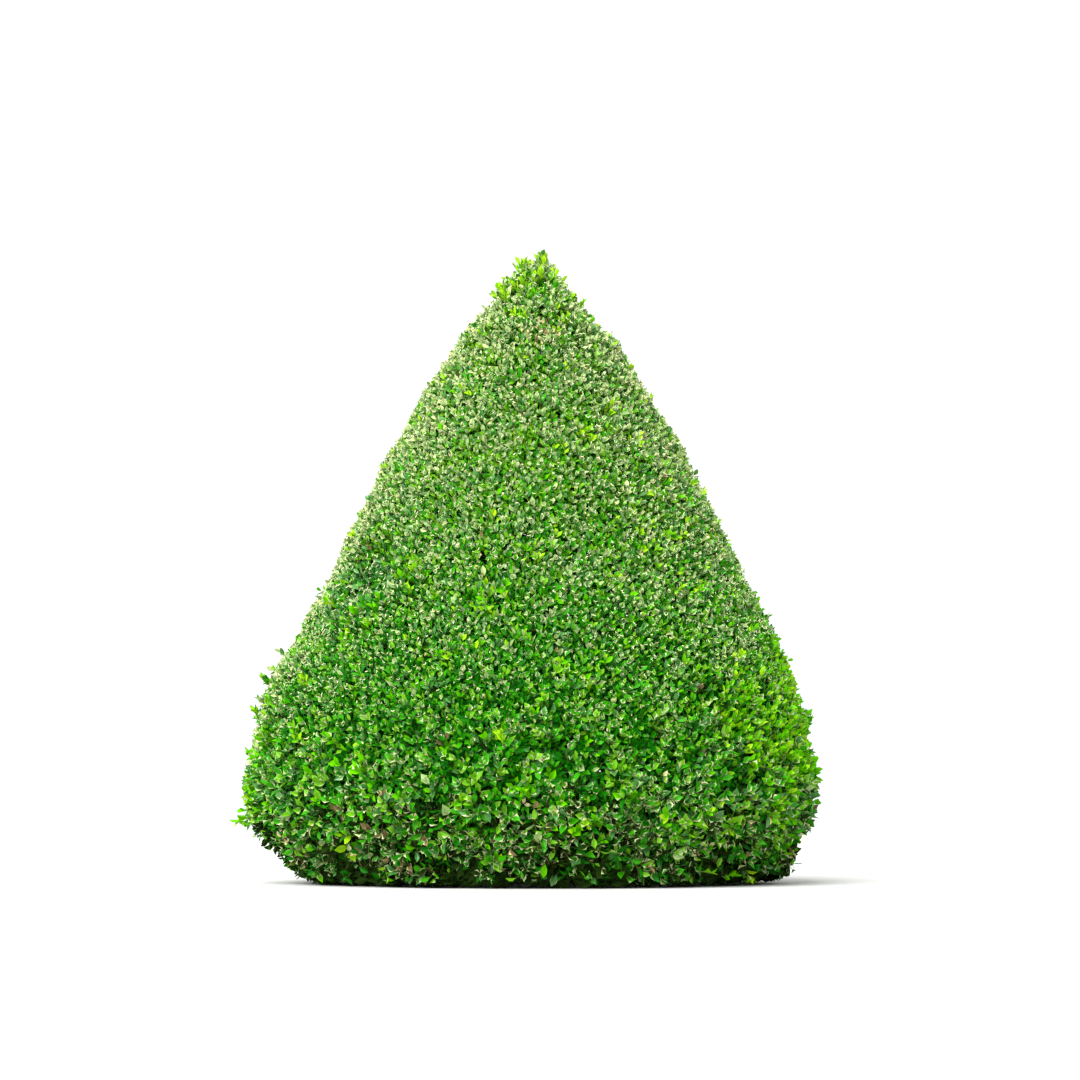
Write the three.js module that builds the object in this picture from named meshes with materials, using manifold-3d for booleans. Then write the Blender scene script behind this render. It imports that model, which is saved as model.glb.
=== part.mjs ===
// A boxwood (Buxus) clipped to a broad cone, rooted in the ground: a short trunk with a root flare, five
// boughs and a leader that rise inside the crown, and the crown as six masses of foliage.
// Millimetres, +Z up. The origin is the middle of the flat cut under the trunk, at ground level.
import * as THREE from "three";
import { mergeVertices } from "three/addons/utils/BufferGeometryUtils.js";
import Module from "manifold-3d";

const wasm = await Module();
wasm.setup();

// ---- Driving dimensions ----
const HEIGHT = 1195; // ground to the furthest tip
const SPREAD = 1080; // across the widest part of the clipped skirt
const GAP = 0.3; // clearance between solids that carry each other

// Trunk, boughs and leader. The root flare is a share of the radius, and it dies out upward.
const TRUNK = { height: 125, groundRadius: 40, topRadius: 30, sides: 20, steps: 8 };
const ROOT_FLARE = { share: 0.75, height: 26, lobes: 5, lobeDepth: 0.3 };
const TRUNK_LEAN = new THREE.Vector3(9, -6, 0); // how far the fork stands from the foot
const BOUGH = { baseRadius: 14, tipRadius: 9, foot: 17, footHeight: 104, reach: 132, tipHeight: 292 };
const BOUGH_BEND = { reach: 95, rise: 62 }; // where a bough turns up, from its own foot
const LEADER = { baseRadius: 13, tipRadius: 7, tipHeight: 700, bendShare: 0.55, bendLean: 1.6 };
const STEM = { endRadius: 4, onward: 90, reach: 110, topHeight: 790 }; // inside a sector's mass
const TIP_STEM_END = new THREE.Vector3(4, 3, 1085);
const LIMB_SIDES = 8;
const LIMB_STEPS = 6;

// The clipped outline from the foot of the skirt to the top: shares of half the spread and of the height.
const OUTLINE = [
  [0.83, 0.014],
  [0.905, 0.055],
  [0.985, 0.115],
  [0.995, 0.18],
  [0.94, 0.29],
  [0.77, 0.44],
  [0.51, 0.68],
  [0.3, 0.835],
  [0.165, 0.918],
  [0.07, 0.965],
  [0.0, 0.98],
];

// The crown: a solid core inside a zone of twigs and leaves, in sectors round a hollow for the limbs.
const LEAF_ZONE = 46; // depth of the twigs and leaves that stand out of the core
const TIP_FROM = 955; // the tip mass takes the crown above this height
const CORE_FOOT = 44; // underside of the core
const CORE_INSET = 42; // from the clipped outline to the core, level
const CORE_TIP = { radius: 14, below: 60 }; // how blunt the core ends, and how far under the outline's top
const HOLLOW = { footRadius: 232, topRadius: 40 };
const CORE_SIDES = 40;
const CORE_ROWS = 11;
const CORE_RELIEF = 7; // how far its surface swells and sinks

// Five sectors, each named by where it stands; the first faces -Y.
const SECTORS = ["front", "front_right", "back_right", "back_left", "front_left"];
const SECTOR_ANGLE = (2 * Math.PI) / SECTORS.length;
const FIRST_SECTOR = -Math.PI / 2;

// Twigs and leaves.
const SEED = 20811;
const SHOOTS = 150; // over the whole clipped surface
const TUFT = { shoots: 5, spread: 50, drop: 58, offset: 8, lean: 0.9 }; // unclipped, at the top
const TWIG = { baseRadius: 3.8, tipRadius: 2.6, rise: 0.62, wander: 0.35, sunk: 24, sides: 3, steps: 2 };
const STEM_AIM = 0.5; // twigs point back at this share of their mass's stem
const LEAF = { length: 58, width: 33, thickness: 4, widest: 0.45, fromAxis: 0.35, stagger: 1.2, tilt: 0.4 };
const LEAF_PAIRS = [
  { along: 0.5, angle: 1.05, size: 0.92 },
  { along: 0.9, angle: 0.62, size: 1.0 },
];
const LOWEST_LEAF = 6; // clearance of the lowest leaf over the ground
const SIDE_MARGIN = 0.75; // shoots keep this many leaf widths from their sector's sides
const SPIRAL_JITTER = 0.08;
const UPRIGHT = 0.95; // a shoot steeper than this turns its leaves from +X, not from +Z
const GOLDEN_ANGLE = Math.PI * (3 - Math.sqrt(5));

// Where young shoots have outgrown the last clip: direction round the crown, height, reach, and how far
// they stand proud. The top does so all round.
const TOP_FLUSH = { from: 0.9, full: 0.98, proud: 18 };
const FLUSHES = [
  { azimuth: -0.12, height: 300, radius: 170, proud: 20 },
  { azimuth: Math.PI + 0.1, height: 140, radius: 90, proud: 26 },
  { azimuth: -1.75, height: 560, radius: 110, proud: 10 },
  { azimuth: 1.5, height: 420, radius: 130, proud: 14 },
];

const BARK = new THREE.MeshStandardMaterial({ color: 0x8a7a5c, roughness: 0.9, metalness: 0 });
const MATURE_LEAVES = new THREE.MeshStandardMaterial({ color: 0x4b8429, roughness: 0.55, metalness: 0 });
const YOUNG_LEAVES = new THREE.MeshStandardMaterial({ color: 0x74b028, roughness: 0.5, metalness: 0 });

// ---- Helpers ----

// A repeatable source of numbers from 0 to 1 (mulberry32).
function seeded(seed) {
  let state = seed >>> 0;
  return () => {
    state = (state + 0x6d2b79f5) >>> 0;
    let t = state;
    t = Math.imul(t ^ (t >>> 15), t | 1);
    t ^= t + Math.imul(t ^ (t >>> 7), t | 61);
    return ((t ^ (t >>> 14)) >>> 0) / 4294967296;
  };
}

// A closed geometry as a solid for joining and cutting.
function solidOf(geometry) {
  const bare = geometry.clone();
  bare.deleteAttribute("normal");
  bare.deleteAttribute("uv");
  const merged = mergeVertices(bare, 1e-4);
  return new wasm.Manifold(
    new wasm.Mesh({
      numProp: 3,
      vertProperties: merged.attributes.position.array,
      triVerts: new Uint32Array(merged.index.array),
    }),
  );
}

// The largest body of a solid, without sealed hollows and loose scraps.
function largestBody(solid) {
  return solid.decompose().reduce((best, body) => (body.volume() > best.volume() ? body : best));
}

function geometryOf(solid) {
  const mesh = solid.getMesh();
  return new THREE.BufferGeometry()
    .setAttribute("position", new THREE.BufferAttribute(mesh.vertProperties, 3))
    .setIndex(new THREE.BufferAttribute(mesh.triVerts, 1));
}

function part(name, solid, material) {
  const mesh = new THREE.Mesh(geometryOf(largestBody(solid)), material);
  mesh.name = name;
  return mesh;
}

// A tapering limb of round section along a curve; radiusAt(t, angle) gives its radius.
function limbGeometry(curve, radiusAt, sides, steps) {
  const geometry = new THREE.CylinderGeometry(1, 1, 1, sides, steps);
  const frames = curve.computeFrenetFrames(steps, false);
  const position = geometry.attributes.position;
  const point = new THREE.Vector3();
  for (let i = 0; i < position.count; i++) {
    const [x, y, z] = [position.getX(i), position.getY(i), position.getZ(i)];
    const step = Math.round((y + 0.5) * steps);
    const t = step / steps;
    const onAxis = Math.hypot(x, z) < 1e-6;
    const angle = Math.atan2(x, z);
    const radius = onAxis ? 0 : radiusAt(t, angle);
    point
      .copy(curve.getPointAt(t))
      .addScaledVector(frames.normals[step], radius * Math.cos(angle))
      .addScaledVector(frames.binormals[step], radius * Math.sin(angle));
    position.setXYZ(i, point.x, point.y, point.z);
  }
  return geometry;
}

const limb = (curve, radiusAt, sides, steps) => solidOf(limbGeometry(curve, radiusAt, sides, steps));

const taper = (from, to) => (t) => THREE.MathUtils.lerp(from, to, t);

// ---- The clipped outline ----

const outlineCurve = new THREE.SplineCurve(
  OUTLINE.map(([r, z]) => new THREE.Vector2((r * SPREAD) / 2, z * HEIGHT)),
);
const OUTLINE_STEPS = 200;
const outlinePoints = outlineCurve.getSpacedPoints(OUTLINE_STEPS);

// Running area of the outline's surface of revolution, to spread shoots evenly over it.
const runningArea = outlinePoints.reduce((sums, p, i) => [...sums, (sums.at(-1) ?? 0) + (i ? p.x : 0)], []);

// The place on the outline at a share (0 to 1) of its surface: radius, height and outward slope.
function outlineAt(share) {
  const wanted = share * runningArea.at(-1);
  const i = Math.min(Math.max(runningArea.findIndex((sum) => sum >= wanted), 1), OUTLINE_STEPS - 1);
  const along = outlinePoints[i + 1].clone().sub(outlinePoints[i - 1]).normalize();
  return { radius: outlinePoints[i].x, height: outlinePoints[i].y, out: along.y, up: -along.x };
}

// The outline's radius at a height, 0 above the top.
function radiusAtHeight(height) {
  const i = outlinePoints.findIndex((p) => p.y >= height);
  if (i < 0) return 0;
  if (i === 0) return outlinePoints[0].x;
  const [a, b] = [outlinePoints[i - 1], outlinePoints[i]];
  return THREE.MathUtils.lerp(a.x, b.x, (height - a.y) / (b.y - a.y));
}

const polar = (radius, azimuth, height) =>
  new THREE.Vector3(radius * Math.cos(azimuth), radius * Math.sin(azimuth), height);

// ---- Trunk, boughs and leader ----

const trunkCurve = new THREE.QuadraticBezierCurve3(
  new THREE.Vector3(0, 0, 0),
  new THREE.Vector3(0, 0, TRUNK.height / 2),
  new THREE.Vector3(TRUNK_LEAN.x, TRUNK_LEAN.y, TRUNK.height),
);

// The trunk's radius: a straight taper, with lobed root flare that dies out over ROOT_FLARE.height.
function trunkRadius(clearance) {
  return (t, angle) => {
    const lobe = 1 + ROOT_FLARE.lobeDepth * Math.cos(ROOT_FLARE.lobes * angle);
    const flare = ROOT_FLARE.share * lobe * Math.exp((-t * TRUNK.height) / ROOT_FLARE.height);
    return THREE.MathUtils.lerp(TRUNK.groundRadius, TRUNK.topRadius, t) * (1 + flare) + clearance;
  };
}

const sectorAzimuth = (k) => FIRST_SECTOR + k * SECTOR_ANGLE;

// A bough leaves the trunk's head sideways, bends up through the hollow and ends short of its mass.
function boughCurve(k) {
  const azimuth = sectorAzimuth(k);
  const foot = polar(BOUGH.foot, azimuth, BOUGH.footHeight).add(TRUNK_LEAN);
  const tip = polar(BOUGH.reach, azimuth, BOUGH.tipHeight);
  const bend = polar(BOUGH_BEND.reach, azimuth, BOUGH.footHeight + BOUGH_BEND.rise);
  return new THREE.QuadraticBezierCurve3(foot, bend, tip);
}

const leaderCurve = new THREE.QuadraticBezierCurve3(
  new THREE.Vector3(TRUNK_LEAN.x, TRUNK_LEAN.y, TRUNK.height + GAP),
  TRUNK_LEAN.clone().multiplyScalar(LEADER.bendLean).setZ(LEADER.tipHeight * LEADER.bendShare),
  new THREE.Vector3(0, 0, LEADER.tipHeight),
);

// ---- Cores ----

// The whole crown's core: the outline moved in by the leaf zone, with a lumpy surface.
function coreSolid() {
  const random = seeded(SEED + 1);
  const top = OUTLINE.at(-1)[1] * HEIGHT - CORE_TIP.below;
  const rows = Array.from({ length: CORE_ROWS }, (_, i) => {
    const height = THREE.MathUtils.lerp(CORE_FOOT, top, i / (CORE_ROWS - 1));
    return new THREE.Vector2(Math.max(radiusAtHeight(height) - CORE_INSET, CORE_TIP.radius), height);
  });
  const profile = [new THREE.Vector2(0, CORE_FOOT), ...rows, new THREE.Vector2(0, rows.at(-1).y)];
  // A lathe turns about Y; rotating it stands it up on Z.
  const lathe = new THREE.LatheGeometry(profile, CORE_SIDES).rotateX(Math.PI / 2);
  lathe.deleteAttribute("normal");
  lathe.deleteAttribute("uv");
  const merged = mergeVertices(lathe, 1e-4);
  const position = merged.attributes.position;
  for (let i = 0; i < position.count; i++) {
    const [x, y, z] = [position.getX(i), position.getY(i), position.getZ(i)];
    const swell = 1 + ((random() - 0.5) * 2 * CORE_RELIEF) / Math.max(Math.hypot(x, y), CORE_RELIEF * 2);
    position.setXYZ(i, x * swell, y * swell, z);
  }
  return solidOf(merged);
}

// A block between two heights that covers one sector, drawn in by half a gap on each side.
function sectorBlock(k, from, to) {
  const [left, right] = [sectorAzimuth(k) - SECTOR_ANGLE / 2, sectorAzimuth(k) + SECTOR_ANGLE / 2];
  const reach = SPREAD;
  const inset = GAP / 2 / Math.sin(SECTOR_ANGLE / 2);
  const corner = (azimuth, radius) => {
    const p = polar(radius, azimuth, 0).add(polar(inset, sectorAzimuth(k), 0));
    return new THREE.Vector2(p.x, p.y);
  };
  const shape = new THREE.Shape([corner(left, 0), corner(left, reach), corner(right, reach)]);
  const geometry = new THREE.ExtrudeGeometry(shape, { depth: to - from, bevelEnabled: false });
  return solidOf(geometry.translate(0, 0, from));
}

const hollow = solidOf(
  new THREE.CylinderGeometry(HOLLOW.topRadius, HOLLOW.footRadius, TIP_FROM, CORE_SIDES)
    .rotateX(Math.PI / 2)
    .translate(0, 0, TIP_FROM / 2),
);

// ---- Leaves and shoots ----

// A leaf of eight faces: a flattened bipyramid, its base at the origin, its blade along +X, its face to +Z.
function leafGeometry(length, width) {
  const geometry = new THREE.OctahedronGeometry(1, 0);
  const position = geometry.attributes.position;
  for (let i = 0; i < position.count; i++) {
    const [x, y, z] = [position.getX(i), position.getY(i), position.getZ(i)];
    const along = x > 0.5 ? 1 : x < -0.5 ? 0 : LEAF.widest;
    const fold = Math.abs(y) > 0.5 ? LEAF.thickness : 0;
    position.setXYZ(i, along * length, (y * width) / 2, (z * LEAF.thickness) / 2 + fold);
  }
  return geometry;
}

// A matrix that stands a leaf at a place, its blade along one direction and its face towards another.
function standing(place, along, face) {
  const x = along.clone().normalize();
  const y = face.clone().cross(x).normalize();
  const z = x.clone().cross(y);
  return new THREE.Matrix4().makeBasis(x, y, z).setPosition(place);
}

// A mass's own space: its sector, under or over the tip's height, clear of the ground.
function spaceOf(k) {
  const isTip = k === SECTORS.length;
  const middle = sectorAzimuth(k);
  const sides = [-1, 1].map((side) => {
    const azimuth = middle + (side * SECTOR_ANGLE) / 2;
    return new THREE.Vector3(-Math.sin(azimuth), Math.cos(azimuth), 0).multiplyScalar(-side);
  });
  return (point) => {
    if (point.z < LOWEST_LEAF) return false;
    if (isTip) return point.z > TIP_FROM + GAP;
    return point.z < TIP_FROM - GAP && sides.every((side) => side.dot(point) > GAP);
  };
}

// Whether every corner of a geometry lies in a space.
function fits(geometry, isInside) {
  const position = geometry.attributes.position;
  const point = new THREE.Vector3();
  for (let i = 0; i < position.count; i++) {
    if (!isInside(point.fromBufferAttribute(position, i))) return false;
  }
  return true;
}

// How far young growth stands proud of the clip at a place.
function proudAt(azimuth, height, radius) {
  const place = polar(radius, azimuth, height);
  const { from, full } = TOP_FLUSH;
  const top = THREE.MathUtils.smoothstep(height, HEIGHT * from, HEIGHT * full) * TOP_FLUSH.proud;
  return FLUSHES.reduce((most, flush) => {
    const centre = polar(radiusAtHeight(flush.height), flush.azimuth, flush.height);
    const near = 1 - THREE.MathUtils.smoothstep(place.distanceTo(centre), flush.radius / 2, flush.radius);
    return Math.max(most, near * flush.proud);
  }, top);
}

// The places where shoots meet the clip, each with its mass and direction: a golden-angle spiral, even by
// area.
function shootPlaces() {
  const random = seeded(SEED);
  const laneHalf = LEAF.width * SIDE_MARGIN;
  return Array.from({ length: SHOOTS }, (_, i) => {
    const place = outlineAt((i + 0.5) / SHOOTS);
    const spiral = i * GOLDEN_ANGLE + (random() - 0.5) * SPIRAL_JITTER;
    const turns = (((spiral - FIRST_SECTOR) / SECTOR_ANGLE + 0.5) % SECTORS.length) + SECTORS.length;
    const sector = Math.floor(turns % SECTORS.length);
    const mass = place.height > TIP_FROM ? SECTORS.length : sector;
    const margin = Math.min(laneHalf / Math.max(place.radius, laneHalf), SECTOR_ANGLE / 2);
    const offset = (turns % 1) * SECTOR_ANGLE - SECTOR_ANGLE / 2;
    const most = SECTOR_ANGLE / 2 - margin;
    const ownWay = sectorAzimuth(sector) + THREE.MathUtils.clamp(offset, -most, most);
    const azimuth = mass === sector ? ownWay : spiral;
    const proud = proudAt(azimuth, place.height, place.radius);
    const out = polar(1, azimuth, 0);
    const normal = out.clone().multiplyScalar(place.out).add(new THREE.Vector3(0, 0, place.up));
    const wander = new THREE.Vector3(random() - 0.5, random() - 0.5, random() - 0.5);
    wander.multiplyScalar(TWIG.wander);
    const direction = normal.clone().add(new THREE.Vector3(0, 0, TWIG.rise)).add(wander).normalize();
    const tip = polar(place.radius, azimuth, place.height).addScaledVector(normal, proud);
    return { mass, tip, direction, normal, spin: random() * Math.PI };
  });
}

// A leaf that stands off a shoot: node is its place on the twig, turn its direction round the twig.
function leafOn(shoot, node, turn, pair) {
  const isUpright = Math.abs(shoot.direction.z) > UPRIGHT;
  const aside = isUpright ? new THREE.Vector3(1, 0, 0) : new THREE.Vector3(0, 0, 1);
  const across = aside.cross(shoot.direction).normalize().applyAxisAngle(shoot.direction, turn);
  const along = shoot.direction.clone().multiplyScalar(Math.cos(pair.angle));
  along.addScaledVector(across, Math.sin(pair.angle));
  const face = shoot.direction.clone().addScaledVector(across, -LEAF.tilt);
  const foot = node.clone().addScaledVector(along, LEAF.fromAxis);
  const leaf = leafGeometry(LEAF.length * pair.size, LEAF.width * pair.size);
  return leaf.applyMatrix4(standing(foot, along, face));
}

// The unclipped shoots at the very top: the first stands upright, the rest lean out round it, each lower.
function tuftPlaces() {
  const up = new THREE.Vector3(0, 0, 1);
  return Array.from({ length: TUFT.shoots }, (_, i) => {
    const share = i / (TUFT.shoots - 1);
    const azimuth = i * GOLDEN_ANGLE;
    const tip = polar(TUFT.spread * Math.sqrt(share), azimuth, HEIGHT - TUFT.drop * share);
    tip.x += TUFT.offset * (1 - share);
    const direction = up.clone().addScaledVector(polar(1, azimuth, 0), share * TUFT.lean).normalize();
    return { mass: SECTORS.length, tip, direction, normal: direction, spin: azimuth };
  });
}

// One shoot: a twig from its mass's core out to the clip, with opposite pairs of leaves that cross.
function shootSolids(shoot, stem, isInside) {
  const lastPair = LEAF_PAIRS.at(-1);
  const leafReach = LEAF.length * lastPair.size * Math.cos(lastPair.angle);
  const bare = LEAF_ZONE - leafReach / 2;
  const end = shoot.tip.clone().addScaledVector(shoot.direction, -leafReach);
  const emerges = end.clone().addScaledVector(shoot.direction, -bare);
  const inwards = stem.getPointAt(STEM_AIM).sub(emerges).normalize();
  const root = emerges.clone().addScaledVector(inwards.sub(shoot.direction).normalize(), TWIG.sunk);
  const twig = limbGeometry(
    new THREE.CatmullRomCurve3([root, emerges, end]),
    taper(TWIG.baseRadius, TWIG.tipRadius),
    TWIG.sides,
    TWIG.steps,
  );
  if (!fits(twig, isInside)) return [];
  const leaves = LEAF_PAIRS.flatMap((pair, i) =>
    [-1, 1].map((side) => {
      const back = side * LEAF.stagger - (1 - pair.along) * bare;
      const node = end.clone().addScaledVector(shoot.direction, back);
      return leafOn(shoot, node, shoot.spin + ((i + side) * Math.PI) / 2, pair);
    }),
  );
  return [twig, ...leaves.filter((leaf) => fits(leaf, isInside))].map(solidOf);
}

// The stem of a sector's mass: it takes over 0.3 mm from its bough's tip and climbs inside the core.
function stemCurve(k) {
  const bough = k < SECTORS.length ? boughCurve(k) : leaderCurve;
  const start = bough.getPointAt(1).addScaledVector(bough.getTangentAt(1), GAP);
  const onwards = start.clone().addScaledVector(bough.getTangentAt(1), STEM.onward);
  const top = k < SECTORS.length ? polar(STEM.reach, sectorAzimuth(k), STEM.topHeight) : TIP_STEM_END;
  return new THREE.QuadraticBezierCurve3(start, onwards, top);
}

// ---- The plant ----

const plant = new THREE.Group();
const trunk = limb(trunkCurve, trunkRadius(0), TRUNK.sides, TRUNK.steps);
const trunkAndGap = limb(trunkCurve, trunkRadius(GAP), TRUNK.sides, TRUNK.steps);
plant.add(part("trunk", trunk, BARK));

SECTORS.forEach((name, k) => {
  const bough = limb(boughCurve(k), taper(BOUGH.baseRadius, BOUGH.tipRadius), LIMB_SIDES, LIMB_STEPS);
  plant.add(part(`bough_${name}`, bough.subtract(trunkAndGap), BARK));
});
const leader = limb(leaderCurve, taper(LEADER.baseRadius, LEADER.tipRadius), LIMB_SIDES, LIMB_STEPS);
plant.add(part("leader", leader.subtract(trunkAndGap), BARK));

const core = coreSolid();
const shoots = [...shootPlaces(), ...tuftPlaces()];
const tipBlock = solidOf(
  new THREE.BoxGeometry(SPREAD, SPREAD, HEIGHT).translate(0, 0, TIP_FROM + HEIGHT / 2),
);
[...SECTORS, "tip"].forEach((name, k) => {
  const isTip = k === SECTORS.length;
  const ownCore = isTip
    ? core.intersect(tipBlock)
    : core.intersect(sectorBlock(k, 0, TIP_FROM - GAP)).subtract(hollow);
  const stem = stemCurve(k);
  const stemRadius = taper(isTip ? LEADER.tipRadius : BOUGH.tipRadius, STEM.endRadius);
  const ownShoots = shoots.filter((shoot) => shoot.mass === k);
  const foliage = ownShoots.flatMap((shoot) => shootSolids(shoot, stem, spaceOf(k)));
  const woody = ownCore.add(limb(stem, stemRadius, LIMB_SIDES, LIMB_STEPS));
  const mass = foliage.reduce((sum, solid) => sum.add(solid), woody);
  plant.add(part(`crown_${name}`, mass, isTip ? YOUNG_LEAVES : MATURE_LEAVES));
});

export default plant;
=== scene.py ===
"""The looks of a boxwood clipped to a broad cone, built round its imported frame.

The trunk, boughs and leader get bark with real relief. Each crown mass is replaced by stems,
branches, branchlets and shoots that grow from the limbs by one golden-angle rule, each order finer
than the last, with opposite pairs of leaves that the clip has cut. Everything is in metres, +Z up,
and seeded.
"""

from __future__ import annotations

import logging
import math
from dataclasses import dataclass
from enum import IntEnum

import bpy
import numpy as np
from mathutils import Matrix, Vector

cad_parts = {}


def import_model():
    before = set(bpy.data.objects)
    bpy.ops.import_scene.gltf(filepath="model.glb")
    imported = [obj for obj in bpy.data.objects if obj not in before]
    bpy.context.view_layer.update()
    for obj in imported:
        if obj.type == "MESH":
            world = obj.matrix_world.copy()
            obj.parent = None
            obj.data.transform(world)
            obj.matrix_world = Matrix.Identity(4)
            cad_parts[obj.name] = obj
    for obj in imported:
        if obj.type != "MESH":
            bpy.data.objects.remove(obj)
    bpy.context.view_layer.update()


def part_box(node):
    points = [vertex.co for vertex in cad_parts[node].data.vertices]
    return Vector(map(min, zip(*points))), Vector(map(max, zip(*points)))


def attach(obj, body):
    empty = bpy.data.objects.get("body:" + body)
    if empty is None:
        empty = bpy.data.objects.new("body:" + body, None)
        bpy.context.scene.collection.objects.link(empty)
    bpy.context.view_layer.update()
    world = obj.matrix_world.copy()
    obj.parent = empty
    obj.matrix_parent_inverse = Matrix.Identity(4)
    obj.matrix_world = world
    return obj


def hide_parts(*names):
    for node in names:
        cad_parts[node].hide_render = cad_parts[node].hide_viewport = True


LOG = logging.getLogger("topiary")
SEED = 20811
TINY = 1e-12
FULL_TURN = 2.0 * math.pi
GOLDEN_ANGLE = math.pi * (3.0 - math.sqrt(5.0))
UP = np.array([0.0, 0.0, 1.0])
Array = np.ndarray
Colour = tuple[int, int, int]
Span = tuple[float, float]  # from one value to another
Slope = tuple[float, float]  # a value, and what a share of 1 adds to it

# The clipped outline, from the foot to the top: shares of half the spread and of the height.
OUTLINE = (
    (0.83, 0.008), (0.905, 0.055), (0.985, 0.115), (0.995, 0.18), (0.94, 0.29), (0.77, 0.44),
    (0.51, 0.68), (0.3, 0.835), (0.165, 0.918), (0.07, 0.965), (0.0, 0.98),
)
SPREAD_SHARE = 0.893  # the clipped skirt's width as a share of the height
TIP_SHARE = 0.8  # the tip mass takes the crown above this share of the height
SECTORS = ("front", "front_right", "back_right", "back_left", "front_left")
SECTOR_ANGLE = FULL_TURN / len(SECTORS)
FIRST_SECTOR = -0.5 * math.pi
MASSES = SECTORS + ("tip",)
TIP = len(SECTORS)


class Tone(IntEnum):
    """Colour families of leaves, in the order of the leaf pieces' material slots."""

    # SHADE is painted shade: a near-black tone for leaves deep in the crown, in hollows and at the
    # foot, where shade falls.
    SHADE = 0
    # DEEP is the real dark green of older leaves, and also painted shade for sunk, hollow, foot and
    # inner leaves.
    DEEP = 1
    BLUE = 2
    LEAF = 3
    BRIGHT = 4
    SAGE = 5
    PALE = 6
    YOUNG = 7
    LIME = 8
    TAN = 9
    CUT = 10
    BROWN = 11


class Stream(IntEnum):
    """Streams of random numbers: each is added to SEED."""

    TRUNK = 0
    GROWTH = 0
    FIRST_BOUGH = 1
    LEAVES = 3
    DRIFT = 5
    HAZE = 6
    WAVES = 7
    LUMPS = 8
    LEADER = 9
    SPECKLE = 11
    CLUMP = 12


# ---- Finishes ----


def linear(srgb: Colour) -> tuple[float, float, float, float]:
    """Turns an 8-bit sRGB colour into linear RGBA.

    Args:
        srgb: Red, green and blue from 0 to 255.

    Returns:
        The colour in linear light, with alpha 1.
    """
    shares = [value / 255.0 for value in srgb]
    light = [s / 12.92 if s <= 0.04045 else ((s + 0.055) / 1.055) ** 2.4 for s in shares]
    return (light[0], light[1], light[2], 1.0)


@dataclass(frozen=True)
class PlainFinish:
    """One plain colour with its gloss: leaves, cut edges and fine twigs."""

    name: str
    srgb: Colour
    roughness: float
    sheen: float = 0.0
    specular: float = 0.3
    sheen_roughness: float = 0.4

    def material(self) -> bpy.types.Material:
        """Makes the finish.

        Returns:
            A material with constants on the shader's own sockets.
        """
        material = bpy.data.materials.new(self.name)
        material.use_nodes = True
        shader = material.node_tree.nodes["Principled BSDF"]
        values = {
            "Base Color": linear(self.srgb), "Roughness": self.roughness,
            "Sheen Weight": self.sheen, "Sheen Roughness": self.sheen_roughness,
            "Specular IOR Level": self.specular,
        }
        for socket, value in values.items():
            shader.inputs[socket].default_value = value
        return material


@dataclass(frozen=True)
class BarkFinish:
    """Fissured, grey-brown bark: plates, furrows and lichen-pale patches."""

    name: str
    ridge: Colour
    furrow: Colour
    plate_scale: float
    bump: float
    bump_distance: float = 0.001
    grain: float = 0.35
    blotch_share: float = 0.6
    detail: float = 6.0
    stops: Span = (0.02, 0.22)
    roughness: Span = (0.98, 0.78)

    def material(self) -> bpy.types.Material:
        """Makes the finish.

        Returns:
            A material whose colour, roughness and bump follow procedural plates.
        """
        material = bpy.data.materials.new(self.name)
        material.use_nodes = True
        tree = material.node_tree
        new, link = tree.nodes.new, tree.links.new
        shader = tree.nodes["Principled BSDF"]
        place, stretch = new("ShaderNodeTexCoord"), new("ShaderNodeMapping")
        plates, blotches = new("ShaderNodeTexVoronoi"), new("ShaderNodeTexNoise")
        both, shades = new("ShaderNodeMath"), new("ShaderNodeValToRGB")
        rough, bump = new("ShaderNodeMapRange"), new("ShaderNodeBump")
        plates.feature = "DISTANCE_TO_EDGE"
        both.operation = "MULTIPLY"
        for socket, value in (
            (stretch.inputs["Scale"], (1.0, 1.0, self.grain)),
            (plates.inputs["Scale"], self.plate_scale),
            (blotches.inputs["Scale"], self.plate_scale * self.blotch_share),
            (blotches.inputs["Detail"], self.detail),
            (rough.inputs["To Min"], self.roughness[0]),
            (rough.inputs["To Max"], self.roughness[1]),
            (bump.inputs["Strength"], self.bump),
            (bump.inputs["Distance"], self.bump_distance),
        ):
            socket.default_value = value
        for k, colour in enumerate((self.furrow, self.ridge)):
            shades.color_ramp.elements[k].position = self.stops[k]
            shades.color_ramp.elements[k].color = linear(colour)
        for source, target in (
            (place.outputs["Object"], stretch.inputs["Vector"]),
            (stretch.outputs["Vector"], plates.inputs["Vector"]),
            (stretch.outputs["Vector"], blotches.inputs["Vector"]),
            (plates.outputs["Distance"], both.inputs[0]),
            (blotches.outputs["Fac"], both.inputs[1]),
            (both.outputs["Value"], shades.inputs["Fac"]),
            (shades.outputs["Color"], shader.inputs["Base Color"]),
            (blotches.outputs["Fac"], rough.inputs["Value"]),
            (rough.outputs["Result"], shader.inputs["Roughness"]),
            (both.outputs["Value"], bump.inputs["Height"]),
            (bump.outputs["Normal"], shader.inputs["Normal"]),
        ):
            link(source, target)
        return material


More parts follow.
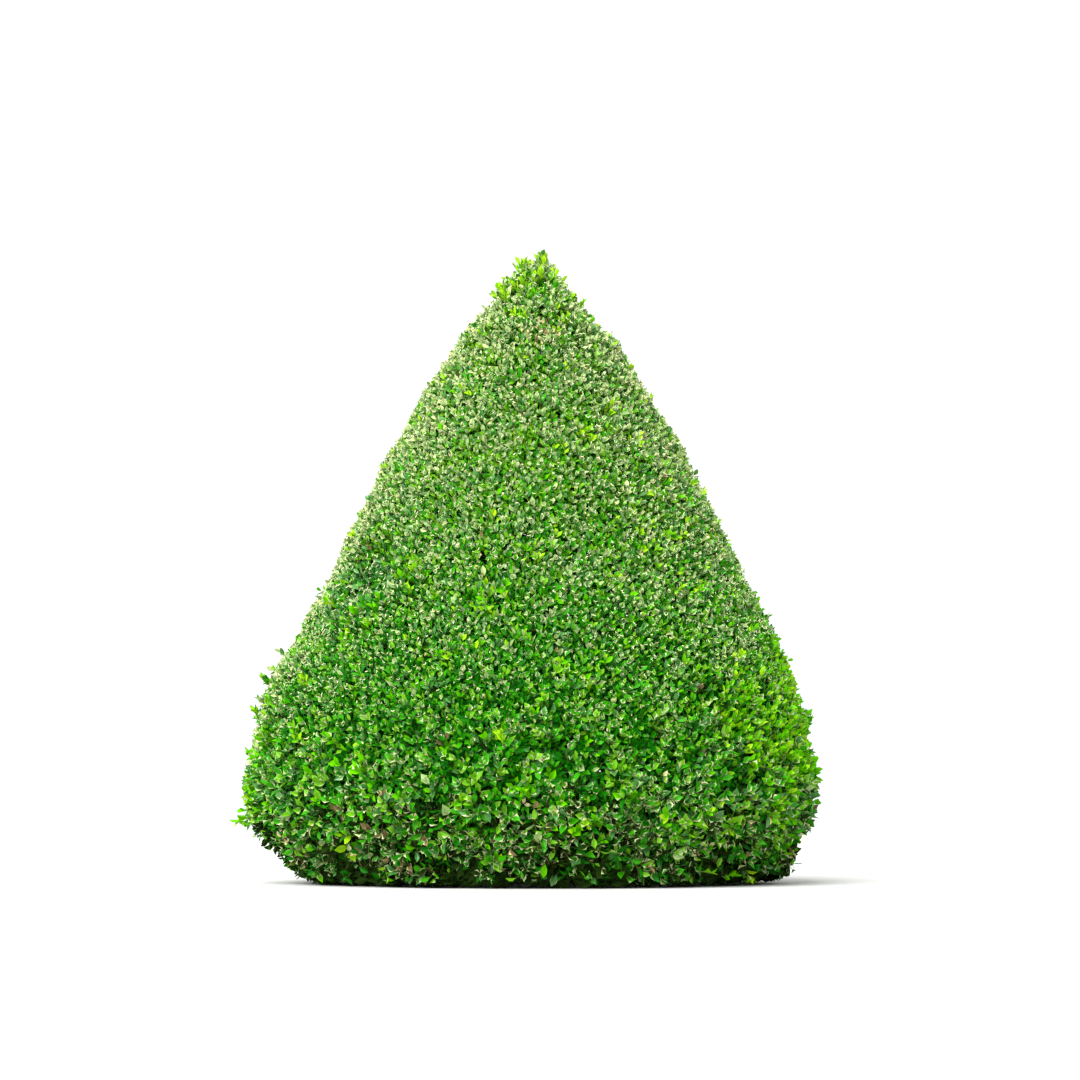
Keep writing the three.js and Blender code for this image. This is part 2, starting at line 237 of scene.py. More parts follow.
LEAF_FINISHES = {
    # The inner tone is painted shade: near-black green for leaves in the crown's shade.
    Tone.SHADE: PlainFinish("leaf_inner", (32, 54, 14), 0.7, 0.0, 0.02),
    # The deep tone is the real dark green of older leaves, and also painted shade where leaves sink
    # into the crown.
    Tone.DEEP: PlainFinish("leaf_deep", (18, 106, 2), 0.45, 0.0, 0.10),
    Tone.BLUE: PlainFinish("leaf_blue_green", (66, 128, 52), 0.34, 0.1, 0.40),
    Tone.LEAF: PlainFinish("leaf_mature", (52, 146, 6), 0.40, 0.0, 0.14),
    Tone.BRIGHT: PlainFinish("leaf_bright", (104, 168, 26), 0.40, 0.0, 0.14),
    # Sage and pale are partly the leaves' own paler colour and partly painted light, weighted
    # towards the upper crown.
    Tone.SAGE: PlainFinish("leaf_sage", (142, 172, 102), 0.36, 0.2, 0.5),
    Tone.PALE: PlainFinish("leaf_pale", (179, 197, 128), 0.4, 0.2, 0.4),
    Tone.YOUNG: PlainFinish("leaf_young", (90, 176, 4), 0.42, 0.0, 0.02),
    Tone.LIME: PlainFinish("leaf_lime", (150, 202, 22), 0.42, 0.0, 0.08),
    Tone.TAN: PlainFinish("leaf_dead", (206, 192, 138), 0.7),
    # The cut-edge tone is the pale of cut edges and dead leaves, and also a painted highlight on
    # leaf rims.
    Tone.CUT: PlainFinish("leaf_cut_edge", (211, 214, 166), 0.65),
    Tone.BROWN: PlainFinish("leaf_withered", (118, 102, 66), 0.7, 0.0, 0.1),
}
WOODY_TWIG = PlainFinish("twig_woody", (92, 90, 46), 0.75)
GREEN_TWIG = PlainFinish("twig_green", (122, 146, 52), 0.55)
BARK = BarkFinish("boxwood_bark", (154, 138, 104), (74, 60, 42), 190.0, 0.8)
FLOOR = PlainFinish("studio_floor", (204, 204, 202), 0.9)


# ---- Arrays and meshes ----


def unit(vectors: Array) -> Array:
    """Scales the vectors on an array's last axis to length 1."""
    return vectors / np.maximum(np.linalg.norm(vectors, axis=-1, keepdims=True), TINY)


def square_to(vectors: Array, axis: Array) -> Array:
    """Takes out of vectors what runs along unit vectors, and scales the rest to length 1."""
    return unit(vectors - np.sum(vectors * axis, axis=-1, keepdims=True) * axis)


def smoothstep(values: Array, low: float, high: float) -> Array:
    """Rises smoothly from 0 where values are at low to 1 where they are at high."""
    share = np.clip((values - low) / (high - low), 0.0, 1.0)
    return share * share * (3.0 - 2.0 * share)


def fade(values: Array, low: float, high: float) -> Array:
    """Falls smoothly from 1 where values are at low to 0 where they are at high."""
    return 1.0 - smoothstep(values, low, high)


def ramp(slope: Slope, share: Array) -> Array:
    """Reads a slope at shares."""
    return slope[0] + slope[1] * share


def polar(radius: Array, azimuth: Array, height: Array) -> Array:
    """Turns distances from the axis, angles from +X and heights into points."""
    radius, azimuth, height = np.broadcast_arrays(radius, azimuth, height)
    return np.stack([radius * np.cos(azimuth), radius * np.sin(azimuth), height], axis=-1)


def bezier(start: Array, middle: Array, end: Array, steps: int) -> Array:
    """Samples quadratic curves.

    Args:
        start: First points, shape (..., 3).
        middle: Control points.
        end: Last points.
        steps: How many segments.

    Returns:
        Points of shape (..., steps + 1, 3).
    """
    t = np.linspace(0.0, 1.0, steps + 1)[:, None]
    start, middle, end = (np.asarray(p)[..., None, :] for p in (start, middle, end))
    return (1.0 - t) ** 2 * start + 2.0 * t * (1.0 - t) * middle + t * t * end


def across(directions: Array) -> tuple[Array, Array]:
    """Finds two directions square to each direction and to each other.

    Args:
        directions: Unit vectors of shape (n, 3).

    Returns:
        Two arrays of unit vectors.
    """
    steep = 0.95  # from here on +Z is too near to the direction itself
    aside = np.where(np.abs(directions[:, 2:]) < steep, UP, [1.0, 0.0, 0.0])
    first = unit(np.cross(aside, directions))
    return first, np.cross(directions, first)


@dataclass
class Surface:
    """Points and triangles, with a material slot for each triangle."""

    points: Array
    triangles: Array
    slots: Array

    @staticmethod
    def joined(parts: list["Surface"]) -> "Surface":
        """Joins surfaces into one.

        Args:
            parts: The surfaces.

        Returns:
            One surface with all their points and triangles.
        """
        starts = np.cumsum([0] + [len(part.points) for part in parts[:-1]])
        return Surface(
            np.concatenate([part.points for part in parts]),
            np.concatenate([part.triangles + start for part, start in zip(parts, starts)]),
            np.concatenate([part.slots for part in parts]),
        )

    def piece(
        self, name: str, materials: list[bpy.types.Material], smooth: bool = True
    ) -> bpy.types.Object:
        """Makes a Blender object.

        Args:
            name: The object's name.
            materials: Its material slots, in order.
            smooth: Whether its faces share their shading.

        Returns:
            The object, in the scene.
        """
        mesh = bpy.data.meshes.new(name)
        count = len(self.triangles)
        mesh.vertices.add(len(self.points))
        mesh.vertices.foreach_set("co", self.points.astype(np.float32).ravel())
        mesh.loops.add(3 * count)
        mesh.loops.foreach_set("vertex_index", self.triangles.astype(np.int32).ravel())
        mesh.polygons.add(count)
        mesh.polygons.foreach_set("loop_start", np.arange(0, 3 * count, 3, dtype=np.int32))
        mesh.polygons.foreach_set("material_index", self.slots.astype(np.int32))
        mesh.polygons.foreach_set("use_smooth", np.full(count, smooth))
        mesh.update(calc_edges=True)
        for material in materials:
            mesh.materials.append(material)
        made = bpy.data.objects.new(name, mesh)
        bpy.context.scene.collection.objects.link(made)
        LOG.info("%s: %d triangles", name, count)
        return made


def tubes(paths: Array, radii: Array, sides: int, slots: Array) -> Surface:
    """Makes round tubes along many paths at once.

    Args:
        paths: Points of shape (tubes, points, 3).
        radii: Radii of shape (tubes, points).
        sides: Sides of each tube.
        slots: A material slot for each tube.

    Returns:
        Their surfaces, open at both ends.
    """
    count, rings = radii.shape
    tangents = unit(np.gradient(paths, axis=1))
    first, _ = across(unit(paths[:, -1] - paths[:, 0]))
    u = square_to(first[:, None], tangents)
    v = np.cross(tangents, u)
    angle = np.arange(sides) * (FULL_TURN / sides)
    ring = np.cos(angle)[:, None] * u[:, :, None] + np.sin(angle)[:, None] * v[:, :, None]
    points = paths[:, :, None] + radii[:, :, None, None] * ring
    low = np.arange(rings - 1)[:, None] * sides + np.arange(sides)[None]
    turn = np.arange(rings - 1)[:, None] * sides + (np.arange(sides) + 1)[None] % sides
    quads = np.stack([low, turn, turn + sides, low, turn + sides, low + sides], axis=-1)
    quads = quads.reshape(-1, 3)
    triangles = (np.arange(count)[:, None, None] * rings * sides + quads[None]).reshape(-1, 3)
    return Surface(points.reshape(-1, 3), triangles, np.repeat(slots, len(quads)))


class SoftNoise:
    """Smooth noise in space: a sum of waves with seeded headings."""

    count = 14
    spread = (0.6, 1.5)

    def __init__(self, stream: Stream, size: float) -> None:
        """Deals the waves.

        Args:
            stream: Sets the headings.
            size: Roughly how far apart its swells are.
        """
        rng = np.random.default_rng(SEED + stream)
        pace = (FULL_TURN / size) * rng.uniform(*self.spread, (self.count, 1))
        self.turns = unit(rng.normal(size=(self.count, 3))) * pace
        self.phase = rng.uniform(0.0, FULL_TURN, self.count)

    def at(self, points: Array) -> Array:
        """Reads the noise at points: values about 0, spread by about 1."""
        return np.sin(points @ self.turns.T + self.phase).sum(axis=1) / math.sqrt(self.count / 2.0)


# ---- The clipped surface ----


@dataclass(frozen=True)
class Patch:
    """A round patch of the crown: where it is, its reach, and how strong it is in the middle.

    A flush's strength is the share of its shoots that are young, a bare patch's the share that
    are short, a dry patch's the share of dead leaves, and a bleached or cool one's the weight of
    pale or blue-green tones. A bump's is its height in metres, below 0 for a dent, and a sprig's
    how far its shoots pass the clip.
    """

    azimuth: float
    height: float
    radius: float
    strength: float


def patches(*rows: tuple[float, float, float, float]) -> tuple[Patch, ...]:
    """Makes patches from rows of azimuth, height, radius and strength."""
    return tuple(Patch(*row) for row in rows)


FLUSHES = patches(
    (-0.28, 0.34, 0.16, 0.80), (-0.68, 0.31, 0.13, 0.80), (-0.52, 0.19, 0.11, 0.65),
    (math.pi + 0.1, 0.14, 0.08, 0.5), (math.pi, 0.25, 0.06, 0.6), (-1.77, 0.50, 0.050, 0.8),
    (-1.64, 0.43, 0.040, 0.8), (-1.36, 0.368, 0.045, 0.7), (-2.206, 0.574, 0.045, 0.7),
    (1.5, 0.42, 0.12, 0.7),
)
BUMPS = patches(
    (-2.50, 0.57, 0.085, -0.028), (-1.2, 0.08, 0.09, -0.014), (-0.75, 0.035, 0.10, -0.008),
    (-2.3, 0.03, 0.10, -0.020), (1.1, 0.7, 0.06, -0.010), (-0.20, 0.02, 0.05, 0.030),
    (-0.06, 0.02, 0.05, 0.030), (-0.10, 0.075, 0.07, -0.014), (-0.1, 1.09, 0.09, -0.012),
    (-0.1, 0.36, 0.14, -0.009), (-2.95, 0.12, 0.06, 0.012), (-2.95, 0.08, 0.06, 0.014),
)
BARE = patches(
    (-0.76, 0.03, 0.10, 0.75), (-2.38, 0.03, 0.09, 0.8), (-1.28, 0.015, 0.07, 0.7),
    (-1.83, 0.01, 0.06, 0.7), (0.4, 0.03, 0.09, 0.8), (1.9, 0.02, 0.09, 0.8),
)
DRY = patches(
    (-1.53, 1.020, 0.055, 0.45), (-0.35, 0.985, 0.040, 0.28), (-2.80, 0.40, 0.060, 0.10),
    (-1.60, 0.09, 0.110, 0.05), (-0.90, 0.06, 0.080, 0.08), (-0.20, 0.05, 0.070, 0.22),
    (-2.30, 0.03, 0.080, 0.08), (-2.80, 0.06, 0.080, 0.16), (1.20, 0.75, 0.050, 0.15),
    (2.40, 0.20, 0.080, 0.12),
)
# Pale patches on the left flank and the top: partly sun-paled leaves, partly a painted sheen where
# the crown faces the light.
BLEACHED = patches(
    (3.05, 0.92, 0.30, 1.05), (3.05, 0.62, 0.26, 1.15), (-3.05, 0.34, 0.20, 0.90),
    (-0.30, 0.98, 0.14, 0.40), (1.70, 0.95, 0.20, 0.30),
)
COOL = patches(
    (-2.50, 0.535, 0.125, 2.40), (-0.16, 0.10, 0.13, 0.80), (2.20, 0.50, 0.10, 0.50),
)
SPRIGS = patches(
    (-3.03, 0.105, 0.012, 0.022), (-3.03, 0.368, 0.012, 0.009), (-3.06, 0.310, 0.012, 0.010),
    (-0.08, 0.290, 0.012, 0.012), (-0.06, 0.195, 0.012, 0.008), (1.20, 0.260, 0.012, 0.016),
    (2.50, 0.440, 0.012, 0.012),
)


@dataclass(frozen=True)
class ClipSize:
    """Sizes of the clipped surface: its waves and lumps, the skirt's lean, and stray patches."""

    steps: int = 240
    span_steps: int = 30
    waves: int = 7
    wave_turns: tuple[int, int] = (2, 9)
    wave_pace: Span = (6.0, 26.0)
    wave_depth: float = 0.0045
    lump_spacing: float = 0.085
    lump_top: float = 0.0022
    lump_skirt: float = 0.0050
    skirt: Span = (0.16, 0.45)
    skirt_set_in: float = 0.010
    skirt_lean: float = 0.014
    leaning: Span = (0.02, 0.12)
    stray_dead: float = 0.003
    foot: Span = (0.02, 0.07)
    foot_bare: float = 0.35
    top_flush: Span = (0.86, 0.95)
    top_young: float = 0.40
    back_flushes: int = 10
    back_azimuth: Slope = (0.3, 2.5)
    back_height: Slope = (0.12, 0.8)
    back_radius: Slope = (0.03, 0.05)
    back_young: Slope = (0.4, 0.5)
    batch: int = 20000


class ClippedShape:
    """The surface that the clip leaves: a shape turned about the axis, with patches and waves."""

    def __init__(self, height: float) -> None:
        """Works out the outline.

        Args:
            height: From the ground to the furthest tip.
        """
        self.height, self.size = height, ClipSize()
        size = self.size
        curve = self._through(np.array(OUTLINE) * [SPREAD_SHARE * height / 2.0, height])
        length = np.cumsum(np.linalg.norm(np.diff(curve, axis=0), axis=1))
        length = np.concatenate([[0.0], length])
        even = np.linspace(0.0, length[-1], size.steps + 1)
        self.line = np.stack([np.interp(even, length, curve[:, i]) for i in (0, 1)], axis=1)
        along = unit(np.gradient(self.line, axis=0))
        self.out, self.up = along[:, 1], -along[:, 0]
        area = np.concatenate([[0.0], np.cumsum(self.line[1:, 0])])
        self.area = area / area[-1]
        rng = np.random.default_rng(SEED + Stream.WAVES)
        self.waves = []
        for _ in range(size.waves):
            turns, pace = int(rng.integers(*size.wave_turns)), rng.uniform(*size.wave_pace)
            self.waves.append((turns, pace, rng.uniform(0.0, FULL_TURN)))
        self.flushes = list(FLUSHES)
        slopes = (size.back_azimuth, size.back_height, size.back_radius, size.back_young)
        for azimuth, up, radius, young in rng.uniform(0.0, 1.0, (size.back_flushes, 4)).tolist():
            shares = (azimuth, up * up, radius, young)  # squared, so that most stand low
            self.flushes.append(Patch(*(ramp(a, b) for a, b in zip(slopes, shares))))
        self.lumps = SoftNoise(Stream.LUMPS, size.lump_spacing)

    def _through(self, knots: Array) -> Array:
        """Draws a smooth line through points.

        Args:
            knots: The points, shape (n, 2).

        Returns:
            Many points along a Catmull-Rom spline.
        """
        padded = np.concatenate([knots[:1], knots, knots[-1:]])
        t = np.linspace(0.0, 1.0, self.size.span_steps, endpoint=False)[:, None]
        spans = [
            b + 0.5 * t * (c - a + t * (2 * a - 5 * b + 4 * c - d + t * (3 * (b - c) + d - a)))
            for a, b, c, d in zip(padded, padded[1:], padded[2:], padded[3:])
        ]
        return np.concatenate(spans + [knots[-1:]])

    def places(self, share: Array) -> tuple[Array, Array, Array, Array]:
        """Finds places on the outline by their share of the surface.

        Args:
            share: Shares of the surface, from 0 at the foot to 1 at the top.

        Returns:
            Radius, height, and the outward and upward parts of the normal.
        """
        columns = (self.line[:, 0], self.line[:, 1], self.out, self.up)
        radius, height, out, up = (np.interp(share, self.area, column) for column in columns)
        return radius, height, out, up

    def radius_at(self, height: Array) -> Array:
        """The outline's radius at heights over the ground, 0 above the top."""
        return np.interp(height, self.line[:, 1], self.line[:, 0], right=0.0)

    def nearness(self, patch: Patch, points: Array) -> Array:
        """How far points lie inside a patch: 1 at its middle, falling to 0 at its reach."""
        centre = polar(self.radius_at(patch.height), patch.azimuth, patch.height)
        return fade(np.linalg.norm(points - centre, axis=1), patch.radius / 2.0, patch.radius)

    def _most(self, patches: tuple[Patch, ...] | list[Patch], points: Array, least: Array) -> Array:
        """The strongest of many patches.

        Args:
            patches: The patches.
            points: Points near the surface.
            least: What holds away from them.

        Returns:
            A strength for each point.
        """
        strongest = least
        for patch in patches:
            strongest = np.maximum(strongest, self.nearness(patch, points) * patch.strength)
        return strongest

    def flush(self, points: Array) -> Array:
        """The share of the shoots near points that are young.

        Args:
            points: Points near the surface.

        Returns:
            A share for each point.
        """
        low, high = (self.height * share for share in self.size.top_flush)
        top = self.size.top_young * smoothstep(points[:, 2], low, high)
        return self._most(self.flushes, points, top)

    def dry(self, points: Array) -> Array:
        """The share of dead leaves near points."""
        return self._most(DRY, points, np.full(len(points), self.size.stray_dead))

    def bleached(self, points: Array) -> Array:
        """The weight of pale tones near points: partly leaves paled by sun and shears, partly a
        painted sheen where the crown faces the light.
        """
        return self._most(BLEACHED, points, np.zeros(len(points)))

    def cool(self, points: Array) -> Array:
        """The weight of the blue-green tone near points, where shears or sun seldom reach."""
        return self._most(COOL, points, np.zeros(len(points)))

    def missing(self, points: Array) -> Array:
        """The share of the shoots near points that stay short, in the shade."""
        return self._most(BARE, points, self.size.foot_bare * fade(points[:, 2], *self.size.foot))

    def swell(self, points: Array) -> Array:
        """How far the clipped surface waves out and in, with its bumps and dents.

        Args:
            points: Points near the surface.

        Returns:
            Metres outward.
        """
        size = self.size
        azimuth = np.arctan2(points[:, 1], points[:, 0])
        total = np.zeros(len(points))
        for turns, pace, phase in self.waves:
            total += np.sin(turns * azimuth + pace * points[:, 2] + phase)
        total *= size.wave_depth / math.sqrt(len(self.waves))
        low = fade(points[:, 2], *size.skirt)
        total += (size.lump_top + (size.lump_skirt - size.lump_top) * low) * self.lumps.at(points)
        leaning = size.skirt_lean * smoothstep(points[:, 2], *size.leaning)
        total -= low * (size.skirt_set_in + leaning * np.cos(azimuth))
        for patch in BUMPS:
            total += self.nearness(patch, points) * patch.strength
        return total

    def outside(self, points: Array) -> Array:
        """How far points lie outside the clip.

        Args:
            points: Points of shape (n, 3).

        Returns:
            Signed distances in metres, below 0 inside.
        """
        radius = np.hypot(points[:, 0], points[:, 1])
        found = np.empty(len(points))
        for start in range(0, len(points), self.size.batch):
            chunk = slice(start, start + self.size.batch)
            dr = radius[chunk, None] - self.line[None, :, 0]
            dz = points[chunk, 2:] - self.line[None, :, 1]
            near = np.argmin(dr * dr + dz * dz, axis=1)
            rows = np.arange(len(near))
            found[chunk] = dr[rows, near] * self.out[near] + dz[rows, near] * self.up[near]
        return found - self.swell(points)


def mass_of(points: Array, height: float) -> Array:
    """Finds the crown mass that each point belongs to.

    Args:
        points: Points of shape (n, 3).
        height: The plant's height.

    Returns:
        Indices into MASSES.
    """
    azimuth = np.arctan2(points[:, 1], points[:, 0])
    sector = np.floor((azimuth - FIRST_SECTOR) / SECTOR_ANGLE + 0.5).astype(int) % len(SECTORS)
    return np.where(points[:, 2] > TIP_SHARE * height, TIP, sector)


# ---- Trunk, boughs and leader ----


@dataclass(frozen=True)
class TrunkSize:
    """Sizes of the trunk and its root flare."""

    height: float = 0.125
    ground_radius: float = 0.040
    top_radius: float = 0.030
    flare: float = 0.75
    flare_height: float = 0.026
    lobes: int = 5
    lobe_depth: float = 0.3
    lean: tuple[float, float, float] = (0.009, -0.006, 0.0)


@dataclass(frozen=True)
class BoughSize:
    """Sizes of one bough."""

    base_radius: float = 0.014
    tip_radius: float = 0.009
    foot: float = 0.017
    foot_height: float = 0.104
    reach: float = 0.132
    tip_height: float = 0.292
    bend_reach: float = 0.095
    bend_rise: float = 0.062


@dataclass(frozen=True)
class LeaderSize:
    """Sizes of the leader."""

    base_radius: float = 0.013
    tip_radius: float = 0.007
    tip_height: float = 0.700
    bend_share: float = 0.55
    bend_lean: float = 1.6


@dataclass(frozen=True)
class StemSize:
    """Sizes of the stems inside the crown masses."""

    onward: float = 0.090
    top_reach: float = 0.110
    top_height: float = 0.790
    tip_top: tuple[float, float, float] = (0.004, 0.003, 1.085)
    base_radius: float = 0.009
    leading_radius: float = 0.007
    end_radius: float = 0.004
    limb_steps: int = 20
    steps: int = 24
    sides: int = 8


@dataclass(frozen=True)
class BarkSize:
    """Relief of the bark: its rings, ridges, furrows and plates."""

    sides: int = 48
    ring_gap: float = 0.005
    bough_rings: int = 44
    leader_rings: int = 110
    relief: float = 0.0011
    wander_waves: int = 4
    wander_depth: Span = (0.1, 0.3)
    wander_pace: Span = (20.0, 90.0)
    wander_phase: float = 6.0
    furrows_per_metre: float = 900.0
    furrows: tuple[int, int] = (7, 26)
    furrow_wander: float = 0.35
    ridge_power: float = 0.4
    plate_pace: float = 150.0
    plate_wander: float = 2.3
    plate_power: float = 0.5
    plate_share: float = 0.25


class Limbs:
    """The trunk, boughs and leader: their curves, and bark pieces with relief."""

    def __init__(self) -> None:
        """Keeps the sizes."""
        self.trunk, self.bough, self.leader = TrunkSize(), BoughSize(), LeaderSize()
        self.stem, self.bark = StemSize(), BarkSize()
        self.lean = np.array(self.trunk.lean)

    def trunk_path(self, steps: int) -> Array:
        """The trunk's middle line in that many segments, from the ground to the fork."""
        height = self.trunk.height
        return bezier(np.zeros(3), UP * (height / 2.0), self.lean + UP * height, steps)

    def bough_path(self, sector: int, steps: int) -> Array:
        """One bough's middle line.

        Args:
            sector: Which bough.
            steps: How many segments.

        Returns:
            Points from inside the trunk's head to its tip.
        """
        size, azimuth = self.bough, FIRST_SECTOR + sector * SECTOR_ANGLE
        foot = polar(size.foot, azimuth, size.foot_height) + self.lean
        bend = polar(size.bend_reach, azimuth, size.foot_height + size.bend_rise)
        return bezier(foot, bend, polar(size.reach, azimuth, size.tip_height), steps)

    def leader_path(self, steps: int) -> Array:
        """The leader's middle line.

        Args:
            steps: How many segments.

        Returns:
            Points from the trunk's head to its tip.
        """
        size = self.leader
        foot = self.lean + UP * self.trunk.height
        bend = self.lean * size.bend_lean + UP * (size.tip_height * size.bend_share)
        return bezier(foot, bend, UP * size.tip_height, steps)

    def _bark(
        self, name: str, path: Array, radii: Array, flare: Array, stream: int
    ) -> bpy.types.Object:
        """Makes one limb with ridges and furrows in its mesh.

        Args:
            name: The piece's name, after the node that it replaces.
            path: Its middle line.
            radii: A radius for each point of the line.
            flare: The share by which the root flare widens each point.
            stream: Sets its furrows.

        Returns:
            The finished piece.
        """
        size, rings = self.bark, len(path)
        surface = tubes(path[None], radii[None], size.sides, np.zeros(1, dtype=int))
        rng = np.random.default_rng(SEED + stream)
        angle = np.tile(np.arange(size.sides) * (FULL_TURN / size.sides), rings)
        ring = np.repeat(np.arange(rings), size.sides)
        along = ring * size.ring_gap
        wander = 0
        for k in range(1, size.wander_waves + 1):
            depth, pace = rng.uniform(*size.wander_depth), rng.uniform(*size.wander_pace)
            phase = rng.uniform(0, size.wander_phase)
            wander = wander + depth * np.sin(pace * along + k * angle + phase)
        furrows = int(np.clip(radii.mean() * size.furrows_per_metre, *size.furrows))
        ridges = np.abs(np.sin(0.5 * furrows * (angle + wander * size.furrow_wander)))
        plate = size.plate_pace * along + size.plate_wander * wander
        plates = np.abs(np.sin(plate + np.floor(furrows * angle / math.pi)))
        broken = 1.0 - size.plate_share + size.plate_share * plates**size.plate_power
        depth = size.relief * (ridges**size.ridge_power * broken - 1.0)
        lobe = 1.0 + self.trunk.lobe_depth * np.cos(self.trunk.lobes * angle)
        widen = depth + radii[ring] * flare[ring] * lobe
        outward = unit(surface.points - np.repeat(path, size.sides, axis=0))
        surface.points += outward * widen[:, None]
        surface.points[:, 2] = np.maximum(surface.points[:, 2], 0.0)
        for first, middle in ((0, path[0]), ((rings - 1) * size.sides, path[-1])):
            rim = first + np.arange(size.sides)
            pair = (np.roll(rim, -1), rim) if first == 0 else (rim, np.roll(rim, -1))
            cap = np.stack([np.full(size.sides, len(surface.points)), *pair], axis=1)
            surface.points = np.concatenate([surface.points, middle[None]])
            surface.triangles = np.concatenate([surface.triangles, cap])
        surface.slots = np.zeros(len(surface.triangles), dtype=int)
        return surface.piece(f"{name}_bark", [bpy.data.materials[BARK.name]])

    def build(self) -> list[tuple[bpy.types.Object, str]]:
        """Builds every limb.

        Returns:
            Each piece with the node that it replaces.
        """
        trunk, bark = self.trunk, self.bark
        steps = int(trunk.height / bark.ring_gap)
        t = np.linspace(0.0, 1.0, steps + 1)
        flare = trunk.flare * np.exp(-t * trunk.height / trunk.flare_height)
        radii = trunk.ground_radius + (trunk.top_radius - trunk.ground_radius) * t
        made = [(self._bark("trunk", self.trunk_path(steps), radii, flare, Stream.TRUNK), "trunk")]
        plans = []
        for k, name in enumerate(SECTORS):
            path = self.bough_path(k, bark.bough_rings)
            plans.append((f"bough_{name}", path, self.bough, Stream.FIRST_BOUGH + k))
        plans.append(("leader", self.leader_path(bark.leader_rings), self.leader, Stream.LEADER))
        for name, path, limb, stream in plans:
            radii = np.linspace(limb.base_radius, limb.tip_radius, len(path))
            made.append((self._bark(name, path, radii, np.zeros(len(path)), stream), name))
        return made

    def stem_path(self, mass: int) -> Array:
        """The stem inside a crown mass, from its bough's tip or the leader's.

        Args:
            mass: Which mass.

        Returns:
            Points from the limb's tip upward.
        """
        size = self.stem
        if mass == TIP:
            limb, top = self.leader_path(size.limb_steps), np.array(size.tip_top)
        else:
            limb = self.bough_path(mass, size.limb_steps)
            top = polar(size.top_reach, FIRST_SECTOR + mass * SECTOR_ANGLE, size.top_height)
        onward = limb[-1] + unit(limb[-1] - limb[-2]) * size.onward
        return bezier(limb[-1], onward, top, size.steps)


# ---- Branching ----


@dataclass(frozen=True)
class Order:
    """One order of branching: how many places it ends at, how deep under the clip, how thick."""

    count: int
    depth: float
    lowered: float
    lowest: float
    base_radius: float
    tip_radius: float
    sides: int
    steps: int


BRANCHES = Order(150, 0.115, 0.020, 0.030, 0.0050, 0.0026, 5, 6)
BRANCHLETS = Order(1700, 0.044, 0.032, 0.012, 0.0020, 0.0012, 4, 3)
SHOOTS = Order(18000, 0.005, 0.0, 0.018, 0.0010, 0.0007, 3, 1)


@dataclass(frozen=True)
class GrowthSize:
    """How the branching spreads, and how far shoots stop short of the clip or pass it."""

    carriers_from: int = 10
    jitter: float = 0.45
    pitch: float = 2.2
    jitter_up: float = 0.25
    jitter_round: float = 0.5
    shares: Span = (0.0005, 0.9995)
    least_radius: float = 0.05
    climb: float = 0.45
    sag: float = 0.05
    back: tuple[int, int] = (1, 4)
    lead: float = 0.35
    low: Span = (0.12, 0.42)
    speckle_spacing: float = 0.11
    speckle: Span = (1.1, 2.2)
    speckle_young: Slope = (0.012, 0.30)
    clump_spacing: float = 0.05
    clump: Span = (-0.5, 0.9)
    clump_young: Slope = (0.40, 0.60)
    leading: Slope = (0.02, 0.22)
    fan_height: float = 0.4
    droop: float = -0.05
    upright: float = 0.7
    depth_spread: float = 0.009
    set_back: Span = (0.000, 0.013)
    escape: Span = (0.000, 0.013)
    recess: Span = (0.028, 0.072)
    crest: Span = (0.93, 0.97)
    crest_calm: float = 0.5
    free_young: float = 0.9


@dataclass(frozen=True)
class TuftSize:
    """The growth that the clip has missed: a tuft at the top, a knob beside it, and sprigs."""

    shoots: int = 32
    drop: Slope = (0.004, 0.085)
    drop_spread: float = 0.006
    slope: float = 0.70
    point: float = 0.012
    lean: Slope = (0.011, -0.018)
    knob_shoots: int = 22
    knob_radius: float = 0.020
    knob_drop: Span = (0.026, 0.055)
    knob_aside: float = 0.024
    sprig_shoots: int = 4
    sprig_from: float = 0.2
    sprig_turn: float = 0.012


